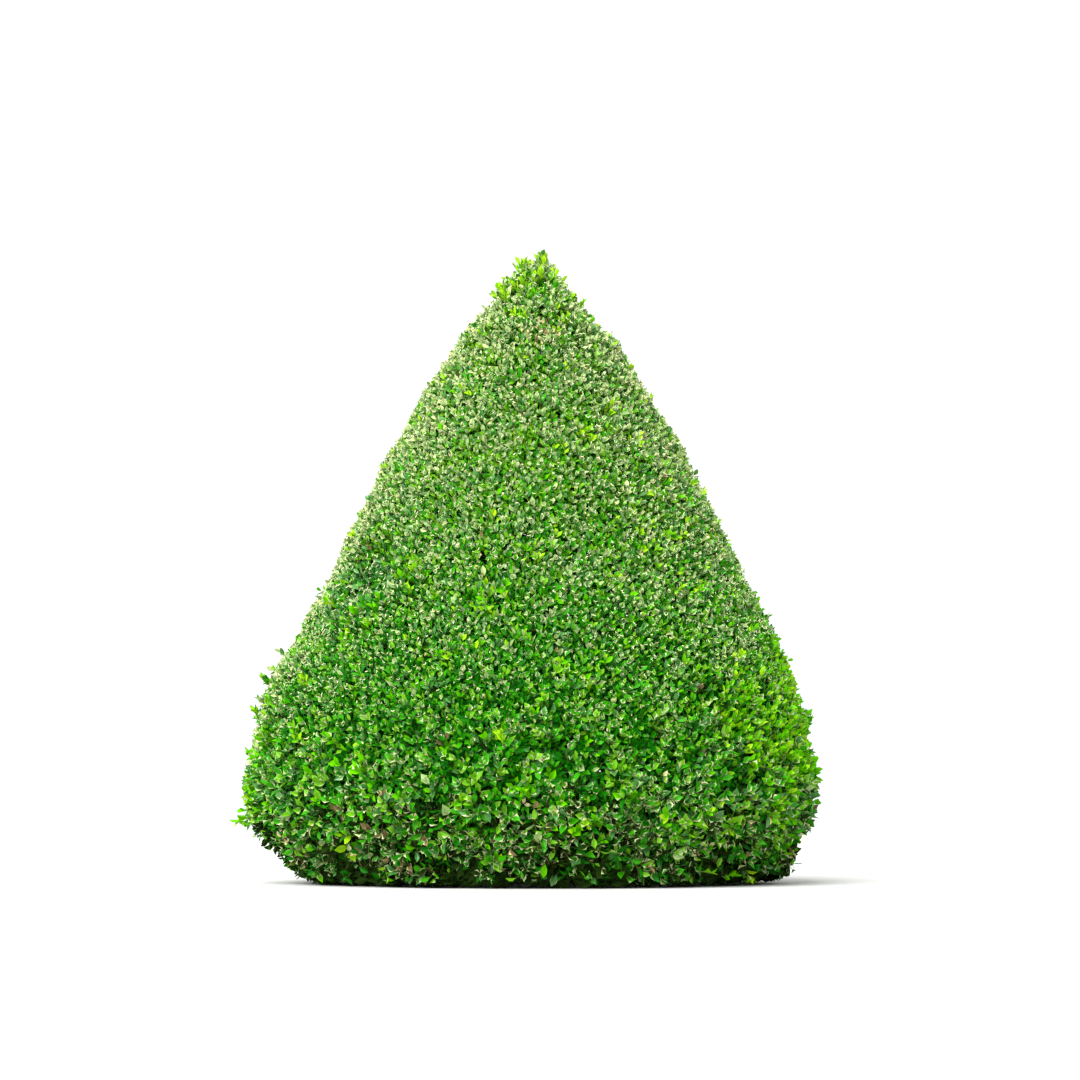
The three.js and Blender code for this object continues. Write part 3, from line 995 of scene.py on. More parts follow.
class Branching:
    """Stems, branches, branchlets and shoots, each ending at even places under the clip."""

    def __init__(self, shape: ClippedShape, limbs: Limbs) -> None:
        """Grows every order.

        Args:
            shape: The clipped shape that they reach.
            limbs: The limbs that they start from.
        """
        self.shape, self.size, self.tuft, self.stem = shape, GrowthSize(), TuftSize(), limbs.stem
        self.rng = np.random.default_rng(SEED + Stream.GROWTH)
        steps = self.stem.steps
        self.stems = np.stack([limbs.stem_path(mass) for mass in range(len(MASSES))])
        lines = [limbs.bough_path(k, steps) for k in range(len(SECTORS))]
        lines.append(limbs.leader_path(steps))
        self.carriers = np.stack(lines)[:, self.size.carriers_from : -1]
        self.carriers = np.concatenate([self.carriers, self.stems], axis=1)
        self.branches = self._branches()
        self.branchlets = self._branchlets()
        self.shoots = self._shoots()

    def _ends(self, order: Order) -> Array:
        """Deals out the places where an order ends.

        Args:
            order: The order of branching.

        Returns:
            Points of shape (count, 3), even by area.
        """
        size, i = self.size, np.arange(order.count)
        shift = self.rng.uniform(-1.0, 1.0, (2, order.count)) * size.jitter
        pitch = size.pitch / math.sqrt(order.count)
        share = np.clip((i + 0.5) / order.count + shift[0] * pitch * size.jitter_up, *size.shares)
        radius, height, out, up = self.shape.places(share)
        turn = shift[1] * pitch * size.jitter_round / np.maximum(radius, size.least_radius)
        azimuth = i * GOLDEN_ANGLE + turn
        inward = polar(out, azimuth, up) * order.depth
        return polar(radius, azimuth, height) - inward - [0.0, 0.0, order.lowered]

    def _branches(self) -> Array:
        """Grows branches from the stems and the boughs' outer halves.

        Returns:
            Their paths, shape (count, points, 3).
        """
        size, lowest = self.size, BRANCHES.lowest
        ends = self._ends(BRANCHES)
        ends[:, 2] = np.maximum(ends[:, 2], lowest)
        carriers = self.carriers[mass_of(ends, self.shape.height)]
        reach = np.hypot(ends[:, 0], ends[:, 1])
        wanted = ends[:, 2] - size.climb * reach
        nearest = np.argmin(np.abs(carriers[:, :, 2] - wanted[:, None]), axis=1)
        starts = carriers[np.arange(len(ends)), nearest]
        middle = (starts + ends) / 2.0
        middle[:, 2] = np.maximum(middle[:, 2] - size.sag * reach, lowest)
        return bezier(starts, middle, ends, BRANCHES.steps)

    def _branchlets(self) -> Array:
        """Grows branchlets from the nearest ends of the branches.

        Returns:
            Their paths, shape (count, points, 3).
        """
        ends = self._ends(BRANCHLETS)
        ends[:, 2] = np.maximum(ends[:, 2], BRANCHLETS.lowest)
        nearest = self._nearest(ends, self.branches[:, -1])
        starts = self.branches[nearest, -self.rng.integers(*self.size.back, len(ends))]
        heading = unit(self.branches[nearest, -1] - self.branches[nearest, -2])
        reach = np.linalg.norm(ends - starts, axis=1, keepdims=True)
        return bezier(starts, starts + heading * self.size.lead * reach, ends, BRANCHLETS.steps)

    @staticmethod
    def _nearest(points: Array, targets: Array) -> Array:
        """Finds the nearest target of each point.

        Args:
            points: Points of shape (n, 3).
            targets: Points of shape (m, 3).

        Returns:
            Indices into targets.
        """
        batch = 2000
        found = [
            np.argmin(np.sum(targets**2, axis=1) - 2.0 * chunk @ targets.T, axis=1)
            for chunk in np.array_split(points, max(1, len(points) // batch))
        ]
        return np.concatenate(found)

    def _shoots(self) -> Array:
        """Grows shoots out to the clip, some past it, and the free ones that it has missed.

        Returns:
            Their paths, shape (count, 2, 3).
        """
        tips = self._clipped_tips()
        free = np.concatenate([self._tuft_tips(), self._sprig_tips()])
        tips = np.concatenate([tips, free])
        young = self.rng.random(len(free)) < self.size.free_young
        self.young = np.concatenate([self.young, young])
        self.escaped = np.concatenate([self.escaped, np.ones(len(free), dtype=bool)])
        self.hollow = np.concatenate([self.hollow, np.zeros(len(free), dtype=bool)])
        tips[:, 2] = np.maximum(tips[:, 2], SHOOTS.lowest)
        self.carrier = self._nearest(tips, self.branchlets[:, -1])
        return np.stack([self.branchlets[self.carrier, -1], tips], axis=1)

    def _clipped_tips(self) -> Array:
        """Places the tips of the shoots, and tells which are young, past the clip or cut short.

        Returns:
            Points of shape (count, 3).
        """
        rng, size, height = self.rng, self.size, self.shape.height
        tips = self._ends(SHOOTS)
        count, flush = len(tips), self.shape.flush(tips)
        self.hollow = rng.random(count) < self.shape.missing(tips)
        speckle = SoftNoise(Stream.SPECKLE, size.speckle_spacing).at(tips)
        speckle = smoothstep(speckle, *size.speckle)
        clump = smoothstep(SoftNoise(Stream.CLUMP, size.clump_spacing).at(tips), *size.clump)
        young = np.maximum(flush * ramp(size.clump_young, clump), ramp(size.speckle_young, speckle))
        self.young = (rng.random(count) < young) & ~self.hollow
        low = fade(tips[:, 2], *size.low)
        leading = rng.random(count) < ramp(size.leading, low)
        self.escaped = self.young | (~self.hollow & leading)
        outward = unit(tips - UP * (size.fan_height * height))
        outward[:, 2] = np.maximum(outward[:, 2], size.droop)
        outward = unit(unit(outward) + size.upright * self.escaped[:, None] * UP)
        push = self.shape.swell(tips) - rng.uniform(0.0, size.depth_spread, count)
        push -= ~self.escaped * low * rng.uniform(*size.set_back, count)
        push -= ~self.escaped * flush * rng.uniform(*size.set_back, count)
        push += self.escaped * rng.uniform(*size.escape, count)
        push -= self.hollow * rng.uniform(*size.recess, count)
        crest = smoothstep(tips[:, 2], *(height * share for share in size.crest))
        push *= 1.0 - size.crest_calm * crest
        return tips + outward * push[:, None]

    def _tuft_tips(self) -> Array:
        """Places the tips of the tuft at the top and of the knob beside it.

        Returns:
            Points of shape (count, 3).
        """
        rng, size, height = self.rng, self.tuft, self.shape.height
        share = (np.arange(size.shoots) + 0.5) / size.shoots
        drop = ramp(size.drop, share) + rng.uniform(0.0, size.drop_spread, len(share))
        azimuth = np.arange(size.shoots) * GOLDEN_ANGLE
        tuft = polar(size.slope * np.maximum(drop - size.point, 0.0), azimuth, height - drop)
        tuft[:, 0] += ramp(size.lean, share)
        radius = rng.uniform(0.0, size.knob_radius, size.knob_shoots)
        drop = rng.uniform(*size.knob_drop, size.knob_shoots)
        knob = polar(radius, azimuth[: size.knob_shoots], height - drop)
        knob[:, 0] -= size.knob_aside
        return np.concatenate([tuft, knob])

    def _sprig_tips(self) -> Array:
        """Places the tips of the few long shoots of each sprig.

        Returns:
            Points of shape (count, 3).
        """
        size, tips = self.tuft, []
        for sprig in SPRIGS:
            share = np.linspace(size.sprig_from, 1.0, size.sprig_shoots)
            radius = self.shape.radius_at(sprig.height)
            swell = self.shape.swell(polar(radius, sprig.azimuth, sprig.height)[None])
            radius += swell + sprig.strength * share
            turn = self.rng.uniform(-size.sprig_turn, size.sprig_turn, size.sprig_shoots)
            tips.append(polar(radius, sprig.azimuth + turn, sprig.height + sprig.radius * share))
        return np.concatenate(tips)

    def surface(self, mass: int) -> Surface:
        """The twigs of one mass.

        Args:
            mass: Which mass.

        Returns:
            Their joined surface; slot 0 is woody and slot 1 green.
        """
        stem = self.stem
        thick = stem.leading_radius if mass == TIP else stem.base_radius
        radii = np.linspace(thick, stem.end_radius, self.stems.shape[1])
        slots = np.zeros(1, dtype=int)
        parts = [tubes(self.stems[mass : mass + 1], radii[None], stem.sides, slots)]
        orders = ((BRANCHES, self.branches), (BRANCHLETS, self.branchlets), (SHOOTS, self.shoots))
        for order, paths in orders:
            mine = mass_of(paths[:, -1], self.shape.height) == mass
            own = paths[mine]
            radii = np.linspace(order.base_radius, order.tip_radius, own.shape[1])
            slots = self.young[mine] if order is SHOOTS else np.zeros(len(own))
            radii = np.tile(radii, (len(own), 1))
            parts.append(tubes(own, radii, order.sides, slots.astype(int)))
        return Surface.joined(parts)


# ---- Leaves ----


@dataclass(frozen=True)
class LeafPair:
    """One pair on a shoot: how far behind the tip, the angle off the shoot, and its size."""

    behind: float
    angle: float
    size: float


@dataclass(frozen=True)
class LeafSize:
    """Sizes of a leaf, and how they change over the crown."""

    length: float = 0.0152
    length_spread: Span = (0.85, 1.15)
    vigour: Span = (0.80, 1.18)
    low: Span = (0.12, 0.42)
    low_gain: float = 0.26
    low_spread: float = 0.2
    top: Span = (0.90, 0.96)
    top_gain: float = 0.30
    leading_gain: float = 0.14
    cool_gain: float = 0.32
    young_gain: float = 0.03
    dead_loss: float = 0.30
    width_share: float = 0.48
    rise: float = 0.32
    stray_angle: float = 0.16
    roll: float = 0.3
    clip_slack: float = 0.0028
    least_kept: float = 0.33
    last_kept: float = 0.36
    whole: float = 0.97
    lowest: float = 0.0015
    fine_depth: float = 0.016


@dataclass(frozen=True)
class InnerSize:
    """The broad leaves inside the crown: their rounds, where they stand, and how light they are:
    painted shade, darkest low down.
    """

    rounds: tuple[tuple[float, int], ...] = ((0.13, 4), (0.05, 9))
    deep: int = 13000
    along: Span = (0.05, 0.6)
    sunk: Span = (0.35, 1.0)
    sunk_below: float = 0.05
    lean: float = 0.15
    flatten: float = 0.75
    gain: float = 2.0
    length_spread: Span = (0.8, 1.2)
    clear: float = 0.012
    lit_share: float = 0.95
    lit: Span = (0.06, 0.22)
    lit_high: Span = (0.35, 0.85)


@dataclass(frozen=True)
class BladeShape:
    """The fold, curl and cut of outer leaves, and the form of inner ones."""

    stations: Span = (0.36, 0.68)
    widest: float = 0.54
    fullness: float = 0.74
    cut_near: float = 0.45
    cut_back: float = 0.03
    slant: float = 0.07
    fold: Span = (0.2, 0.8)
    curl: float = 0.35
    curl_stray: float = 0.3
    curl_from: float = 0.35
    stand_off: float = 0.02
    lip: float = 0.0010
    lip_spread: Span = (0.5, 1.4)
    plain_along: tuple[float, ...] = (0.0, 0.55, 0.55, 0.55, 1.0)
    plain_across: tuple[float, ...] = (0.0, -0.95, 0.0, 0.95, 0.0)
    plain_fold: float = 0.25
    plain_curl: float = 0.3

    def half_width(self, share: Array) -> Array:
        """The outline of a boxwood leaf.

        Args:
            share: Places along the blade, 0 at its foot and 1 at its tip.

        Returns:
            Half widths as a share of the widest.
        """
        foot, tip = self.fullness, self.fullness * (1.0 - self.widest) / self.widest
        peak = self.widest**foot * (1.0 - self.widest) ** tip
        return np.clip(share, 0.0, 1.0) ** foot * np.clip(1.0 - share, 0.0, 1.0) ** tip / peak


@dataclass(frozen=True)
class RimSize:
    """The pale margins, partly the leaves' own pale edge and partly a painted highlight: their
    width, and which leaves have them.
    """

    width: float = 0.0016
    spread: Span = (0.6, 1.4)
    low: Span = (0.15, 0.45)
    low_gain: float = 0.35
    high: Span = (0.25, 0.75)
    shares: Span = (0.85, 1.00)
    young: float = 0.25
    foot: Span = (0.04, 0.14)
    foot_loss: float = 0.45
    cool_loss: float = 0.60
    depth: float = 0.010
    shift: float = 0.03
    lift: float = 0.6


@dataclass(frozen=True)
class ToneShare:
    """What a tone's share of the shoots is: a constant, and what each trait of the place adds."""

    tone: Tone
    always: float = 0.0
    upper: float = 0.0
    foot: float = 0.0
    drift: float = 0.0
    haze: float = 0.0
    bleached: float = 0.0
    cool: float = 0.0
    hollow: float = 0.0
    dry: float = 0.0


# Painted shade: the foot and hollow weights give the inner and deep tones to the foot and to short
# shoots in hollows. In both tables the upper weights are partly paler leaves and partly painted
# light, turning the top sage and pale.
GROWN = (
    ToneShare(Tone.SHADE, foot=0.85, hollow=1.5),
    ToneShare(Tone.DEEP, always=0.12, upper=-0.12, foot=0.5, hollow=1.5),
    ToneShare(Tone.BLUE, always=0.18, upper=0.04, haze=0.06, cool=1.0),
    ToneShare(Tone.LEAF, always=0.46, upper=-0.30, haze=-0.04),
    ToneShare(Tone.BRIGHT, always=0.30, upper=-0.12, drift=0.06),
    ToneShare(Tone.SAGE, always=0.02, upper=0.40, haze=0.04, bleached=0.7),
    ToneShare(Tone.PALE, upper=0.05, bleached=0.6),
    ToneShare(Tone.YOUNG, always=0.05, upper=-0.02),
    ToneShare(Tone.BROWN, foot=0.20, dry=0.6),
)
YOUNG = (
    ToneShare(Tone.YOUNG, always=0.70, upper=-0.62),
    ToneShare(Tone.LIME, always=0.02, upper=0.55),
    ToneShare(Tone.BRIGHT, always=0.27, upper=-0.14),
    ToneShare(Tone.SAGE, upper=0.38),
)


@dataclass(frozen=True)
class ToneSize:
    """Where tones change over the crown, how leaves stray, where light and shade are painted, and
    how dry edges and rim highlights are dealt.

    Heights are shares of the plant's, but those of the edges are metres.
    """

    drift_spacing: float = 0.16
    haze_spacing: float = 0.12
    # upper is where the top turns paler, partly painted light, also for older leaves; foot is where
    # the foot's painted shade fades out, both as shares of the height.
    upper: Span = (0.20, 0.70)
    foot: Span = (0.01, 0.15)
    strays: float = 0.35
    older: tuple[float, ...] = (0.0, 0.25, 0.5, 0.8)
    older_low: tuple[Tone, ...] = (Tone.DEEP, Tone.BLUE, Tone.LEAF)
    older_high: tuple[Tone, ...] = (Tone.BLUE, Tone.LEAF, Tone.SAGE)
    # lit, shaded, sunk_depth and sunk paint shade and light: leaves sunk under the clip take dark
    # tones low in the crown and brighter ones higher up.
    lit: Span = (0.12, 0.60)
    shaded: Span = (0.05, 0.16)
    sunk_depth: float = 0.020
    sunk: float = 0.75
    limy: Slope = (0.20, -0.08)
    dead_pale: float = 0.35
    edge: Span = (0.15, 0.75)
    cut_tan: float = 0.14
    # The bright rim share is a painted highlight that rises with height over the edge span.
    cut_pale: Slope = (0.85, -0.75)
    rim_bright_highlight: Slope = (0.25, 0.60)
    rim_tan: Slope = (0.05, 0.15)


PAIRS = (
    LeafPair(0.000, 0.42, 0.78),
    LeafPair(0.007, 0.80, 1.0),
    LeafPair(0.016, 1.02, 1.05),
    LeafPair(0.027, 1.15, 1.0),
)
STOOD = ("base", "along", "face", "length", "rank", "shoot")
CUT = STOOD + ("cut", "depth", "rim_draw")


class Foliage:
    """Every leaf as arrays: where it stands, its shape, where the clip cut it, and its tone."""

    def __init__(self, shape: ClippedShape, branching: Branching) -> None:
        """Places the leaves on their shoots, cuts them and deals their tones.

        Args:
            shape: The clipped shape.
            branching: The grown shoots.
        """
        self.shape, self.size, self.inner = shape, LeafSize(), InnerSize()
        self.blade, self.rim, self.tones = BladeShape(), RimSize(), ToneSize()
        self.rng = np.random.default_rng(SEED + Stream.LEAVES)
        self.young, self.escaped = branching.young, branching.escaped
        self.hollow = branching.hollow
        self.mass = mass_of(branching.shoots[:, -1], shape.height)
        self._stand(branching.shoots)
        self._cut()
        self._deal_tones(branching.shoots[:, 1])
        self._stand_inner(branching)

    def _vigour(self, tips: Array) -> Array:
        """How large each shoot's leaves grow.

        Args:
            tips: The shoots' tips.

        Returns:
            A factor for each shoot.
        """
        size, low = self.size, fade(tips[:, 2], *self.size.low)
        vigour = self.rng.uniform(*size.vigour, len(tips)) * (1.0 + size.low_gain * low)
        vigour *= 1.0 + size.young_gain * self.young
        vigour *= 1.0 + size.leading_gain * low * self.escaped
        vigour *= 1.0 + size.cool_gain * np.minimum(self.shape.cool(tips), 1.0)
        top = smoothstep(tips[:, 2] / self.shape.height, *size.top)
        return vigour * (1.0 + size.top_gain * top)

    def _stand(self, shoots: Array) -> None:
        """Stands opposite pairs on every shoot, each pair crossing the last.

        Args:
            shoots: Paths of shape (count, 2, 3).
        """
        rng, size, count = self.rng, self.size, len(shoots)
        axis = unit(shoots[:, 1] - shoots[:, 0])
        first, second = across(axis)
        spin = rng.uniform(0.0, math.pi, count)
        vigour = self._vigour(shoots[:, 1])
        spread = 1.0 + size.low_spread * fade(shoots[:, 1, 2], *size.low) * ~self.young
        leaves = []
        for rank, pair in enumerate(PAIRS):
            for side in (0.0, math.pi):
                turn = spin + rank * math.pi / 2.0 + side + rng.normal(0.0, size.stray_angle, count)
                aside = np.cos(turn)[:, None] * first + np.sin(turn)[:, None] * second
                angle = (pair.angle * spread + rng.normal(0.0, size.stray_angle, count))[:, None]
                roll = rng.normal(0.0, size.roll, count)[:, None]
                along = unit(axis * np.cos(angle) + aside * np.sin(angle) + [0.0, 0.0, size.rise])
                face = square_to(axis * np.sin(angle) - aside * np.cos(angle), along)
                leaves.append((
                    shoots[:, 1] - axis * (pair.behind * vigour)[:, None],
                    along,
                    unit(face * np.cos(roll) + np.cross(face, along) * np.sin(roll)),
                    size.length * pair.size * vigour * rng.uniform(*size.length_spread, count),
                    np.full(count, rank),
                    np.arange(count),
                ))
        for name, column in zip(STOOD, zip(*leaves)):
            setattr(self, name, np.concatenate(column))

    def _cut(self) -> None:
        """Cuts leaves where they pass the clip, and drops what it takes whole."""
        size, tips = self.size, self.base + self.along * self.length[:, None]
        slack = self.rng.normal(0.0, size.clip_slack, len(tips))
        foot = self.shape.outside(self.base) - slack
        tip = self.shape.outside(tips) - slack
        passed = tip > 0.0
        cut = np.where(passed, -foot / np.where(passed, tip - foot, 1.0), 1.0)
        self.cut = np.where(self.escaped[self.shoot], 1.0, np.clip(cut, 0.0, 1.0))
        lowest = np.minimum(self.base[:, 2], tips[:, 2])
        keep = (self.cut > size.least_kept) & (lowest > size.lowest)
        keep &= tips[:, 2] < self.shape.height
        keep &= (self.rank < len(PAIRS) - 1) | (self.rng.random(len(tips)) < size.last_kept)
        self.depth = -foot
        self.rim_draw = self.rng.random(len(tips))
        for name in CUT:
            setattr(self, name, getattr(self, name)[keep])

    def _stand_inner(self, branching: Branching) -> None:
        """Adds broad leaves low on the shoots and on the branchlets, to close the crown's inside,
        in painted shade that lightens up the crown.

        Args:
            branching: The grown shoots and branchlets.
        """
        rng, size, shoots = self.rng, self.inner, branching.shoots
        rounds = [np.arange(len(shoots))]
        for below, times in size.rounds:
            rounds += [np.nonzero(shoots[:, 1, 2] < below)[0]] * times
        shoot = np.concatenate(rounds)
        deep = rng.integers(0, len(shoots), size.deep)
        carrier = branching.branchlets[branching.carrier[deep]]
        start = np.concatenate([shoots[shoot, 0], carrier[:, -2]])
        end = np.concatenate([shoots[shoot, 1], carrier[:, -1]])
        count = len(start)
        share = rng.uniform(*size.along, count)[:, None]
        base = start * (1.0 - share) + end * share
        base[:, 2] *= rng.uniform(*size.sunk, count) ** (base[:, 2] < size.sunk_below)
        axis = unit(end - start)
        along = unit(rng.normal(size=(count, 3)) + size.lean * axis)
        along = unit(along - size.flatten * np.sum(along * axis, axis=1, keepdims=True) * axis)
        length = self.size.length * size.gain * rng.uniform(*size.length_spread, count)
        tips = base + along * length[:, None]
        keep = np.minimum(base[:, 2], tips[:, 2]) > self.size.lowest
        keep &= self.shape.outside(tips) < -size.clear
        # Painted shade: inner leaves are darkest low in the crown and lighter higher up.
        lit = rng.random(count) < size.lit_share * smoothstep(base[:, 2], *size.lit)
        lit_high = rng.random(count) < smoothstep(base[:, 2], *size.lit_high)
        ones = np.ones(count)
        added = {
            "base": base, "along": along, "face": square_to(axis, along), "length": length,
            "rank": np.full(count, len(PAIRS)), "shoot": np.concatenate([shoot, deep]),
            "cut": ones, "depth": ones, "rim_draw": ones,
            "tone": np.where(lit, np.where(lit_high, Tone.LEAF, Tone.DEEP), Tone.SHADE),
        }
        for name, column in added.items():
            setattr(self, name, np.concatenate([getattr(self, name), column[keep]]))

    def _weigh(self, tips: Array, upper: Array) -> Array:
        """Adds up every tone's share at each shoot.

        Args:
            tips: The shoots' tips.
            upper: How far up the crown each is, from 0 to 1.

        Returns:
            Weights of shape (shoots, tones).
        """
        size, shape = self.tones, self.shape
        traits = {
            "always": np.ones(len(tips)),
            "upper": upper,
            "foot": fade(tips[:, 2] / shape.height, *size.foot),
            "drift": SoftNoise(Stream.DRIFT, size.drift_spacing).at(tips),
            "haze": SoftNoise(Stream.HAZE, size.haze_spacing).at(tips),
            "bleached": shape.bleached(tips),
            "cool": shape.cool(tips),
            "hollow": self.hollow,
            "dry": shape.dry(tips),
        }
        both = []
        for shares in (GROWN, YOUNG):
            weights = np.zeros((len(tips), len(Tone)))
            for share in shares:
                for name, trait in traits.items():
                    weights[:, share.tone] += getattr(share, name) * trait
            both.append(np.clip(weights, 0.0, None))
        return np.where(self.young[:, None], both[1], both[0])

    def _deal_tones(self, tips: Array) -> None:
        """Deals a tone to each shoot, then lets leaves stray and its older leaves darken, and
        paints shade and light on sunk leaves.

        Args:
            tips: The shoots' tips.
        """
        size, shoot, count = self.tones, self.shoot, len(self.shoot)
        draw, choose = self.rng.random, self.rng.choice
        high = tips[:, 2] / self.shape.height
        upper = smoothstep(high, *size.upper)
        weights = self._weigh(tips, upper)
        running = np.cumsum(weights / weights.sum(axis=1, keepdims=True), axis=1)
        tone = (draw(len(tips))[:, None] > running).sum(axis=1)[shoot]
        chance = draw(count)
        by_leaf = (draw(count)[:, None] > running[shoot]).sum(axis=1)
        tone = np.where(draw(count) < size.strays, by_leaf, tone)
        raised = draw(count) < upper[shoot]
        low_choice, high_choice = choose(size.older_low, count), choose(size.older_high, count)
        older = chance < np.array(size.older)[self.rank]
        tone = np.where(older, np.where(raised, high_choice, low_choice), tone)
        # Painted shade and light: leaves sunk under the clip go dark low in the crown and bright
        # high up.
        lit = draw(count) < smoothstep(high, *size.lit)[shoot]
        sunk = (self.depth > size.sunk_depth) & (chance < size.sunk)
        shaded = draw(count) > smoothstep(high, *size.shaded)[shoot]
        painted_sunk_tone = np.where(shaded, Tone.SHADE, Tone.DEEP)
        painted_sunk_tone = np.where(lit, np.where(raised, Tone.BRIGHT, Tone.LEAF), painted_sunk_tone)
        tone = np.where(sunk, painted_sunk_tone, tone)
        limy = self.young[shoot] & (draw(count) < ramp(size.limy, self.rank))
        tone = np.where(limy, Tone.LIME, tone)
        dead = draw(count) < self.shape.dry(tips)[shoot]
        tone = np.where(dead, np.where(draw(count) < size.dead_pale, Tone.CUT, Tone.TAN), tone)
        self.tone = np.minimum(tone, max(Tone))
        self.length = self.length * (1.0 - self.size.dead_loss * dead)

    def _rimmed(self) -> Array:
        """Finds the leaves near the surface that have a pale margin, partly a painted highlight.

        Returns:
            True for each leaf that has one.
        """
        size, height = self.rim, self.base[:, 2]
        share = size.shares[0] + (size.shares[1] - size.shares[0]) * smoothstep(height, *size.high)
        share = share * np.where(self.young[self.shoot], size.young, 1.0)
        share = share * (1.0 - size.cool_loss * np.minimum(self.shape.cool(self.base), 1.0))
        share = share * (1.0 - size.foot_loss * fade(height, *size.foot))
        return (self.depth < size.depth) & (self.rim_draw < share)

    def surface(self, mass: int) -> Surface:
        """The leaves of one mass.

        Args:
            mass: Which mass.

        Returns:
            Their joined surface, with Tone as material slot.
        """
        own = self.mass[self.shoot] == mass
        fine = self.depth < self.size.fine_depth
        is_cut, rimmed = self.cut < self.size.whole, self._rimmed()
        kinds = [(a, b) for a in (False, True) for b in (False, True)]
        outer = [self._fine(own & fine & (is_cut == a) & (rimmed == b), a, b) for a, b in kinds]
        return Surface.joined(outer + [self._plain(own & ~fine)])

    def _place(self, chosen: Array, u: Array, v: Array, lift: Array) -> Array:
        """Turns leaf coordinates into points.

        Args:
            chosen: Indices of the leaves.
            u: Shares along each blade, shape (n, points).
            v: Shares of the half width across it.
            lift: Shares of the half width above it.

        Returns:
            Points of shape (n, points, 3).
        """
        length = self.length[chosen][:, None]
        half = length * self.size.width_share / 2.0
        sideways = np.cross(self.face[chosen], self.along[chosen])
        points = (
            self.base[chosen][:, None]
            + (u * length)[..., None] * self.along[chosen][:, None]
            + (v * half)[..., None] * sideways[:, None]
            + (lift * half)[..., None] * self.face[chosen][:, None]
        )
        points[..., 2] = np.maximum(points[..., 2], 0.0)
        return points

    def _fine(self, mask: Array, is_cut: bool, rimmed: bool) -> Surface:
        """Outer leaves, folded on the midrib; where the clip cut them a pale lip turns outward.

        Args:
            mask: Which leaves.
            is_cut: Whether the clip took their tips.
            rimmed: Whether each margin has a pale rim of two more faces, partly a painted
                highlight.

        Returns:
            Their surface.
        """
        chosen = np.nonzero(mask)[0]
        rng, blade, edge, tones, count = self.rng, self.blade, self.rim, self.tones, len(chosen)
        cut, half = self.cut[chosen], self.length[chosen] * self.size.width_share / 2.0
        height, zero = self.base[chosen, 2], np.zeros(count)
        near, far = (np.full(count, station) for station in blade.stations)
        slant = zero
        if is_cut:
            near, far = blade.cut_near * cut, cut - blade.cut_back
            slant = rng.normal(0.0, blade.slant, count)
        w1, w2, w3 = (blade.half_width(place) for place in (near, far, cut))
        rim = edge.width * rng.uniform(*edge.spread, count) / half
        rim *= 1.0 + edge.low_gain * fade(height, *edge.low)
        u, v = [zero, near, near, far - slant, far, far + slant], [zero, -w1, w1, -w2, zero, w2]
        u += [cut - slant, cut, cut + slant] if is_cut else [np.ones(count)]
        v += [-w3, zero, w3] if is_cut else [zero]
        ends = len(u)
        if rimmed:
            u += [near + edge.shift, near + edge.shift]
            v += [-w1 - rim, w1 + rim]
        u, v = np.stack(u, axis=1), np.stack(v, axis=1)
        fold = rng.uniform(*blade.fold, count)[:, None]
        curl = rng.normal(blade.curl, blade.curl_stray, count)[:, None]
        lift = fold * np.abs(v) - curl * (u - blade.curl_from) ** 2 + blade.stand_off
        if is_cut:
            lift[:, 6:9] += (blade.lip * rng.uniform(*blade.lip_spread, count) / half)[:, None]
        if rimmed:
            lift[:, ends:] += edge.lift * rim[:, None]
        points = self._place(chosen, u, v, lift)
        blade_faces = [(0, 1, 4), (1, 3, 4), (0, 4, 2), (4, 5, 2)]
        end_faces = [(4, 3, 6), (4, 6, 5)]
        if is_cut:
            end_faces = [(4, 3, 6), (4, 6, 7), (4, 8, 5), (4, 7, 8)]
        rim_faces = [(0, ends, 1), (1, ends, 3), (0, 2, ends + 1), (2, 5, ends + 1)]
        high, tone = smoothstep(height, *tones.edge), self.tone[chosen]
        dry = np.where(rng.random(count) < tones.cut_tan, Tone.TAN, Tone.CUT)
        dry = np.where(rng.random(count) < ramp(tones.cut_pale, high), Tone.PALE, dry)
        groups = [(blade_faces, tone), (end_faces, dry if is_cut else tone)]
        # The rims are partly the pale leaf edge and partly a painted highlight, brighter up high.
        if rimmed:
            bright = rng.random(count) < ramp(tones.rim_bright_highlight, high)
            dead = rng.random(count) < ramp(tones.rim_tan, high)
            rim_highlight_tone = np.where(dead, Tone.TAN, np.where(bright, Tone.CUT, Tone.PALE))
            groups.append((rim_faces, rim_highlight_tone))
        faces = np.array([face for group, _ in groups for face in group])
        slots = [np.repeat(part[:, None], len(group), 1) for group, part in groups]
        return self._spread(points, faces, np.concatenate(slots, axis=1))

    def _plain(self, mask: Array) -> Surface:
        """Inner leaves of four faces.

        Args:
            mask: Which leaves.

        Returns:
            Their surface.
        """
        blade, chosen = self.blade, np.nonzero(mask)[0]
        u = self.cut[chosen][:, None] * blade.plain_along
        v = np.ones((len(chosen), 1)) * blade.plain_across
        lift = blade.plain_fold * np.abs(v) - blade.plain_curl * (u - blade.curl_from) ** 2
        faces = np.array([(0, 1, 2), (2, 1, 4), (0, 2, 3), (2, 4, 3)])
        slots = np.repeat(self.tone[chosen], len(faces))
        return self._spread(self._place(chosen, u, v, lift), faces, slots)

    @staticmethod
    def _spread(points: Array, faces: Array, slots: Array) -> Surface:
        """Gives every leaf's points the same faces, each with its tone's slot."""
        triangles = np.arange(len(points))[:, None, None] * points.shape[1] + faces
        return Surface(points.reshape(-1, 3), triangles.reshape(-1, 3), slots.ravel())


# ---- Studio ----


@dataclass(frozen=True)
class StudioSize:
    """The camera, light and floor."""

    lens_mm: float = 99.7
    sensor_mm: float = 36.0
    distance: float = 5.6
    camera_height: float = 0.13
    aim: tuple[float, float, float] = (0.0060, 0.0, 0.6405)
    floor_radius: float = 16.0
    floor_sides: int = 96
    floor_height: float = -0.0005
    sun_strength: float = 5.8
    sun_angle_deg: float = 50.0
    sun_tilt_deg: float = 48.0
    sun_turn_deg: float = -30.0
    sky: float = 1.15


